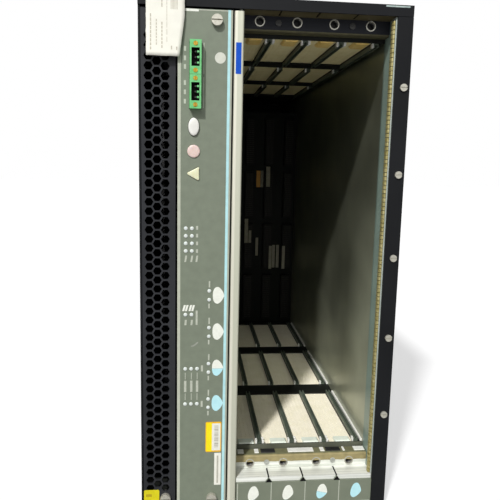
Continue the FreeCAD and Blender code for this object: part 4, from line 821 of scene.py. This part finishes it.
# %% Finger strip
finger_gold = finish("beryllium copper", "#94894f", "#b8ae7c", 0.4, 0.4, patch=3)
carrier_grey = finish("pale gasket carrier", "#a9b2ad", "#bac2bc", 0.5, 0.3, patch=10, grain=0.6)
tree, given = recipe("bowed fingers", {"Radius": "Float", "Length": "Float", "Bow": "Vector"})
barrel = add(tree, "GeometryNodeMeshCylinder", {"Vertices": 12, "Radius": given["Radius"],
                                                "Depth": given["Length"]})
copies = add(tree, "GeometryNodeInstanceOnPoints", {"Points": given["Spots"], "Instance": barrel,
                                                    "Scale": given["Bow"]})
serve(tree, given, copies)
low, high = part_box("side_gasket")
FINGER_STEP = 3.6
count = int((high.z - low.z) / (FINGER_STEP * MM))
spots = [(low.x / MM + 1.75, low.y / MM + 3.4, low.z / MM + FINGER_STEP * (i + 0.5)) for i in range(count)]
grow("gasket_fingers", tree, {"Radius": 1.6 * MM, "Length": 3.1 * MM, "Bow": (1, 1.9, 1),
                              "Finish": finger_gold}, spots, replaces=["side_gasket"])
mesh = bmesh.new()
plate(mesh, rounded(96.5, 35.5, 97.45, 433.9, 0.3), -301.9, -308.7)
piece("gasket_carrier", mesh, carrier_grey)

# %% [markdown]
# ## Cloth gaskets on the rails
# Along both rails lies a foam strip wrapped in metallised cloth: olive on top and tan in front, a little
# lumpy, with a fine weave. The lower one also hangs over the rail's edge, down to the bushes. Each section is
# an outline of Y and Z points, swept along X with a slight waver. Two wave textures crossed at a thread
# spacing of 0.5 mm give the weave.

# %% Rail gaskets
cloth = finish("metallised gasket cloth", "#dcdcdc", "#ffffff", 0.6, 0.2, patch=6, grain=0.6, height=0.03)
banded(cloth, "Y", -294, -280, (-294, "#a3966a"), (-291.8, "#7d7c5c"))
tree = cloth.node_tree
threads = [add(tree, "ShaderNodeTexWave", {"Vector": here(tree), "Scale": 0.31 / (0.5 * MM)},
               bands_direction=axis) for axis in ("X", "Y")]
weave = add(tree, "ShaderNodeMath", {0: threads[0].outputs["Fac"], 1: threads[1].outputs["Fac"]},
            operation="MULTIPLY")
plug(tree, tree.nodes["Relief"].inputs["Height"], weave)
LOWER_STRIP = ((-281.1, 45.95), (-281.1, 47.3), (-282.0, 47.65), (-291.4, 47.65), (-292.8, 47.1),
               (-293.15, 46.2), (-293.15, 40.6), (-292.55, 40.6), (-292.55, 45.95))
STRIP_LEFT, STRIP_LENGTH, STRIP_STEPS = -26.7, 123.7, 62
UPPER_STRIP = ((-281.1, 423.55), (-281.1, 422.6), (-282.0, 421.85), (-291.4, 421.85), (-292.4, 422.6),
               (-292.4, 423.55))
# The upper strip gets a darker copy of the cloth: painted shade under the top lip.
shaded_cloth = finish("gasket cloth in painted shade", "#4a4732", "#5b573e", 0.6, 0.2, patch=6, grain=0.6,
                    height=0.03)
for name, section, puff, coat, node in (("lower_gasket_strip", LOWER_STRIP, 0.1, cloth, ["rail_gaskets"]),
                                        ("upper_gasket_strip", UPPER_STRIP, -0.1, shaded_cloth, [])):
    mesh = bmesh.new()
    middle = sum(z for _, z in section) / len(section)
    rings = []
    for i in range(STRIP_STEPS + 1):
        x = STRIP_LEFT + STRIP_LENGTH * i / STRIP_STEPS
        swell = 1 - abs(puff) + puff * abs(noise.noise(Vector((x * 0.15, middle, 0))))
        rings.append([(x, y, middle + (z - middle) * swell) for y, z in section])
    stack(mesh, rings)
    piece(name, mesh, coat, replaces=node)

# %% [markdown]
# ## Knurled heads
# Captive screws and thumb screws have straight knurls so that fingers can turn them. A ring of thin six
# sided rods round each head gives the ridges: the tree puts the rods on a circle and the circle on each
# screw's spot, so the rods, the ring and the spots are three steps of one recipe.

# %% Knurls
knurled, given = recipe("knurled ring", {"Ridges": "Int", "Radius": "Float", "Rod": "Float",
                                         "Length": "Float"})
tree = knurled
rod = add(tree, "GeometryNodeMeshCylinder", {"Vertices": 6, "Radius": given["Rod"], "Depth": given["Length"]})
ring = add(tree, "GeometryNodeMeshCircle", {"Vertices": given["Ridges"], "Radius": given["Radius"]})
ridges = add(tree, "GeometryNodeInstanceOnPoints", {"Points": ring, "Instance": rod})
turned = add(tree, "GeometryNodeTransform", {"Geometry": ridges, "Rotation": (math.pi / 2, 0, 0)})
copies = add(tree, "GeometryNodeInstanceOnPoints", {"Points": given["Spots"], "Instance": turned})
serve(tree, given, copies)

VENT_RIGHT = -80.0
THUMB_HEAD = (6.4, 316.0, 4.7)  # length, middle and radius
for node, body, (length, middle, radius) in (
        ("front_captive_screws", "chassis", (2.6, FRONT - 2.0, 4.2)),
        ("fan_tray_screws", "fan_tray", THUMB_HEAD), ("filter_screws", "filter_tray", THUMB_HEAD),
        ("power_blank_screws", "chassis", THUMB_HEAD)):
    front = node == "front_captive_screws"
    spots = [(x, middle + (VENT_SETBACK if front and x < VENT_RIGHT else 0), z) for x, _, z in heads(node)]
    grow(node.replace("screws", "knurls"), knurled, {
        "Ridges": 26, "Radius": radius * MM, "Rod": 0.34 * MM, "Length": length * MM,
        "Finish": nodes[node].data.materials[0]}, spots, body)

# %% [markdown]
# ## Contact rows of the midplane
# At the back of the cage each slot has four tall connectors. Their faces are full of small square contact
# openings. A grid in the tree gives one connector's openings, and the sixteen connectors are the spots.

# %% Contacts
CONNECTOR_FACE, BOARD_FACE = 130.0, 141.0
contact_grey = finish("dull contact openings", "#191714", "#24211c", 0.5, 0.4, patch=3, grain=0.4,
                      height=0.004)
tree, given = recipe("contact field", {"Columns": "Int", "Rows": "Int", "Width": "Float", "Height": "Float",
                                       "Opening": "Vector"})
grid = add(tree, "GeometryNodeMeshGrid", {"Size X": given["Width"], "Size Y": given["Height"],
                                          "Vertices X": given["Columns"], "Vertices Y": given["Rows"]})
standing = add(tree, "GeometryNodeTransform", {"Geometry": grid, "Rotation": (math.pi / 2, 0, 0)})
opening = add(tree, "GeometryNodeMeshCube", {"Size": given["Opening"]})
field = add(tree, "GeometryNodeInstanceOnPoints", {"Points": standing, "Instance": opening})
copies = add(tree, "GeometryNodeInstanceOnPoints", {"Points": given["Spots"], "Instance": field})
serve(tree, given, copies)
spots = [(x, CONNECTOR_FACE, z) for x, _, z in heads("midplane_connectors")]
grow("contact_rows", tree, {
    "Columns": 5, "Rows": 22, "Width": 9 * MM, "Height": 66 * MM, "Opening": (1.1 * MM, 0.12 * MM, 1.6 * MM),
    "Finish": contact_grey}, spots)

# %% Midplane labels
orange_vinyl = finish("orange vinyl", "#c98a1c", "#d69a30", 0.5, patch=4, grain=0.4, height=0.004)
printed("midplane_orange_label", [rounded(34.6, 275.5, 41.0, 302.0, 0.4)], orange_vinyl, BOARD_FACE, 0.1)
board_labels = [rounded(41.3, 275.5, 46.0, 302.0, 0.4), rounded(35.5, 163.0, 39.8, 193.0, 0.4),
                rounded(63.4, 143.0, 68.2, 181.0, 0.3), rounded(70.0, 143.0, 74.8, 181.0, 0.3)]
# The board labels are drawn a mid grey.
grey_board_label = finish("grey paper label", "#8f8c7c", "#a19e8d", 0.7, patch=4, grain=0.4)
printed("midplane_board_labels", board_labels, grey_board_label, BOARD_FACE, 0.1)
front_labels = [rounded(49.0, 277.0, 55.4, 309.0, 0.4), rounded(16.0, 186.0, 21.6, 225.0, 0.4),
                rounded(22.6, 186.0, 27.0, 206.0, 0.4), rounded(56.6, 143.0, 61.2, 181.0, 0.3),
                rounded(78.2, 143.0, 83.0, 181.0, 0.3)]
printed("midplane_front_labels", front_labels, grey_board_label, CONNECTOR_FACE - 0.1, 0.1)

# %% [markdown]
# ## Small fittings at the front of the guide frames
# At the front end of each floor window a pale bevelled tab lies on the screen, with white nylon feet on the
# other side of each guide. The ceiling has the same tabs in tan, upside down. Bright and black plates lie on
# the lower rail's gasket. All are stacks again, each with a bevelled face.

# %% Tabs and feet
AXES = (-2.9, 28.3, 59.5, 90.7)  # middles of the card guides
tab_coat = finish("pale grey-green coat", "#d9e1d3", "#e5ebde", 0.45)
tan_coat = finish("golden tan coat", "#ecc56a", "#f8d98c", 0.45)


def lying(left, front, right, back, z):
    """A rectangle that lies at a height, as a ring."""
    return [(left, front, z), (right, front, z), (right, back, z), (left, back, z)]


def bevelled(mesh, left, front, right, back, low, high, bevel):
    """A block whose far face, at high, is drawn in by a bevel; high may lie under low."""
    way = 1 if high > low else -1
    stack(mesh, [lying(left, front, right, back, low), lying(left, front, right, back, high - way * bevel),
                 lying(left + bevel, front + bevel, right - bevel, back - bevel, high)])


floor_top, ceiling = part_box("lower_guide_panel")[1].z / MM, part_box("upper_guide_panel")[0].z / MM
floor_sheet, ceiling_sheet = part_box("lower_screen")[1].z / MM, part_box("upper_screen")[0].z / MM
floor_tabs, ceiling_tabs, feet = bmesh.new(), bmesh.new(), bmesh.new()
for axis in AXES:
    bevelled(floor_tabs, axis - 20.0, -277.9, axis - 4.6, -268.0, floor_sheet, floor_top + 0.8, 1.2)
    bevelled(ceiling_tabs, axis - 18.4, -277.9, axis - 5.2, -254.0, ceiling_sheet, ceiling - 0.9, 1.6)
for axis in AXES[:-1]:
    for low, high in ((floor_top, floor_top + 2.8), (ceiling, ceiling - 2.8)):
        for front in (-277.8, -272.4):
            bevelled(feet, axis + 2.6, front, axis + 4.6, front + 2.6, low, high, 0.4)
piece("floor_tabs", floor_tabs, tab_coat)
piece("ceiling_tabs", ceiling_tabs, tan_coat)
piece("guide_feet", feet, white_nylon)

# %% Plates on the rail gasket
PALE_SPANS = ((-24.1, -18.5), (-8.4, -4.4), (23.2, 47.6), (54.0, 58.0), (75.6, 77.6), (86.6, 96.6))
DARK_SPANS = ((-2.4, 11.0), (59.4, 73.4))
for name, spans, coat, slot in (("rail_plates", PALE_SPANS, white_nylon, "clip_white"),
                                ("rail_slots", DARK_SPANS, black_plastic, "guide_paint")):
    mesh = bmesh.new()
    for left, right in spans:
        bevelled(mesh, left, -289.4, right, -282.4, 47.5, 48.2, 0.25)
    piece(name, mesh, coat)

# %% [markdown]
# The lower rail's lip is slit between the slots, and the label plate has a pointed tooth in front of each
# slit. The teeth are printed black and a black bar lies down in each slit: painted shade, so that the slit
# reads as a dark gap. At the rear a thin foam seal on the filter's plate hangs over the joint to the rear
# cover, so that no daylight comes in.

# %% Dark slits and rear seal
SLITS = (2.5, 33.7, 64.9)
black_foam_and_shade = finish("flat black paint", "#060606", "#0b0b0b", 0.7, mirror=0.1)
# The slit bars and the black teeth are painted shade; the rear seal is real black foam.
mesh = bmesh.new()
for x in SLITS:
    bevelled(mesh, x - 0.66, -309.05, x + 0.66, -294.2, 31.2, 34.9, 0.1)
piece("slit_shade", mesh, black_foam_and_shade)
teeth = [[(x + 3.1, 30.85), (x + 0.05, 34.95), (x - 0.05, 34.95), (x - 3.1, 30.85)] for x in SLITS]
printed("painted_shade_teeth", teeth, black_foam_and_shade, FRONT, 0.04)
low, high = (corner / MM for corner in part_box("rear_cover"))
mesh = bmesh.new()
bevelled(mesh, low.x + 0.5, high.y + 0.05, high.x - 0.5, high.y + 0.55, high.z - 1.0, high.z + 1.4, 0.1)
piece("rear_seal", mesh, black_foam_and_shade, "filter_tray")

# %% [markdown]
# ## Filter foam
# The air filter is a mat of open-cell foam in a frame. It shows through the honeycomb on top. Its two faces
# are grids with low random lumps, and Voronoi cells of 1.8 mm give the pores, drawn coarser than the real
# ones so that they show.

# %% Foam
foam = finish("open-cell foam", "#1c1c1c", "#2a2a29", 0.9, patch=15, grain=1, height=0.05)
tree = foam.node_tree
pores = add(tree, "ShaderNodeTexVoronoi", {"Vector": here(tree), "Scale": 1 / (1.8 * MM)})
relief = tree.nodes["Relief"].inputs
plug(tree, relief["Height"], pores)
plug(tree, relief["Distance"], 0.6 * MM)
low, high = (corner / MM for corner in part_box("filter_media"))
LONG, WIDE, INSET = 114, 11, 0.2  # steps along Y and X, and the gap to the frame
across = [low.x + INSET + (high.x - low.x - 2 * INSET) * i / WIDE for i in range(WIDE + 1)]
mesh = bmesh.new()
rings = []
for j in range(LONG + 1):
    y = low.y + INSET + (high.y - low.y - 2 * INSET) * j / LONG
    lump = [0.35 * (noise.noise(Vector((i * 0.8, y * 0.06, 0))) - 1) for i in range(WIDE + 1)]
    rings.append([(x, y, high.z + d) for x, d in zip(across, lump)]
                 + [(x, y, low.z - d) for x, d in zip(reversed(across), reversed(lump))])
stack(mesh, rings)
piece("foam_mat", mesh, foam, "filter_tray", ["filter_media"], smooth=True)

# %% [markdown]
# ## Studio
# The chassis stands on a pale floor under plain soft light. The key light comes from the front, the left
# and above, small enough to draw the slanted shadow that the photograph shows inside the cage. A soft box in
# front reaches the cage's far floor, and the world fills the shadows. Camera, mirror and glass rays see the
# world as white, and the floor adds a little white of its own for the camera only, so the background is white
# while the object gets no extra light.

# %% Floor
WHITE = (1, 1, 1, 1)
sweep = bmesh.new()
bmesh.ops.create_grid(sweep, x_segments=2, y_segments=2, size=8)
floor_data = bpy.data.meshes.new("studio_floor")
sweep.to_mesh(floor_data)
sweep.free()
floor = bpy.data.objects.new("studio_floor", floor_data)
floor.location.z = -0.5 * MM
scene.collection.objects.link(floor)
studio_paint = finish("pale studio floor", "#acacac", "#b2b2b2", 0.8, patch=400, grain=3, height=0.02)
tree = studio_paint.node_tree
rays = add(tree, "ShaderNodeLightPath")
feed(tree, "Emission Color", WHITE)
seen = add(tree, "ShaderNodeMath", {0: rays.outputs["Is Camera Ray"], 1: 0.6}, operation="MULTIPLY")
feed(tree, "Emission Strength", seen)
floor_data.materials.append(studio_paint)
print("floor laid")

# %% World
FILL = 0.15
world = bpy.data.worlds.new("studio_world")
scene.world = world
world.use_nodes = True
tree = world.node_tree
background = tree.nodes["Background"].inputs
plug(tree, background["Color"], WHITE)
rays = add(tree, "ShaderNodeLightPath")
direct = add(tree, "ShaderNodeMath", {0: rays.outputs["Is Camera Ray"], 1: rays.outputs["Is Glossy Ray"]},
             operation="ADD")
shown = add(tree, "ShaderNodeMath", {0: direct, 1: rays.outputs["Is Transmission Ray"]}, operation="ADD")
strength = add(tree, "ShaderNodeMapRange", {"Value": shown, "To Min": FILL, "To Max": 1.0})
plug(tree, background["Strength"], strength)
print("world fills with", FILL)

# %% Lamps
def lamp(name, kind, energy, aim, place=(0, 0, 0)):
    """A light at a place, shining along aim."""
    light = bpy.data.lights.new(name, kind)
    light.energy = energy
    made = bpy.data.objects.new(name, light)
    made.location = place
    made.rotation_euler = Vector(aim).to_track_quat("-Z", "Y").to_euler()
    scene.collection.objects.link(made)
    return light


KEY, SOFT_BOX = 3.3, Vector((-0.5, -2.3, 1.7))
lamp("key", "SUN", KEY, (0.33, 0.63, -0.70)).angle = math.radians(4)
lamp("soft_box", "AREA", 13, Vector((0.03, -0.2, 0.15)) - SOFT_BOX, SOFT_BOX).size = 1.2
scene.view_settings.view_transform = "Standard"
print("studio lit, key", KEY)

# %% [markdown]
# ## Last checks
# The CAD nodes that are shown and lack exactly one finish are listed.

# %% Finish
bare = [name for name, node in nodes.items() if not node.hide_render and len(node.data.materials) != 1]
print("nodes without a finish:", bare)
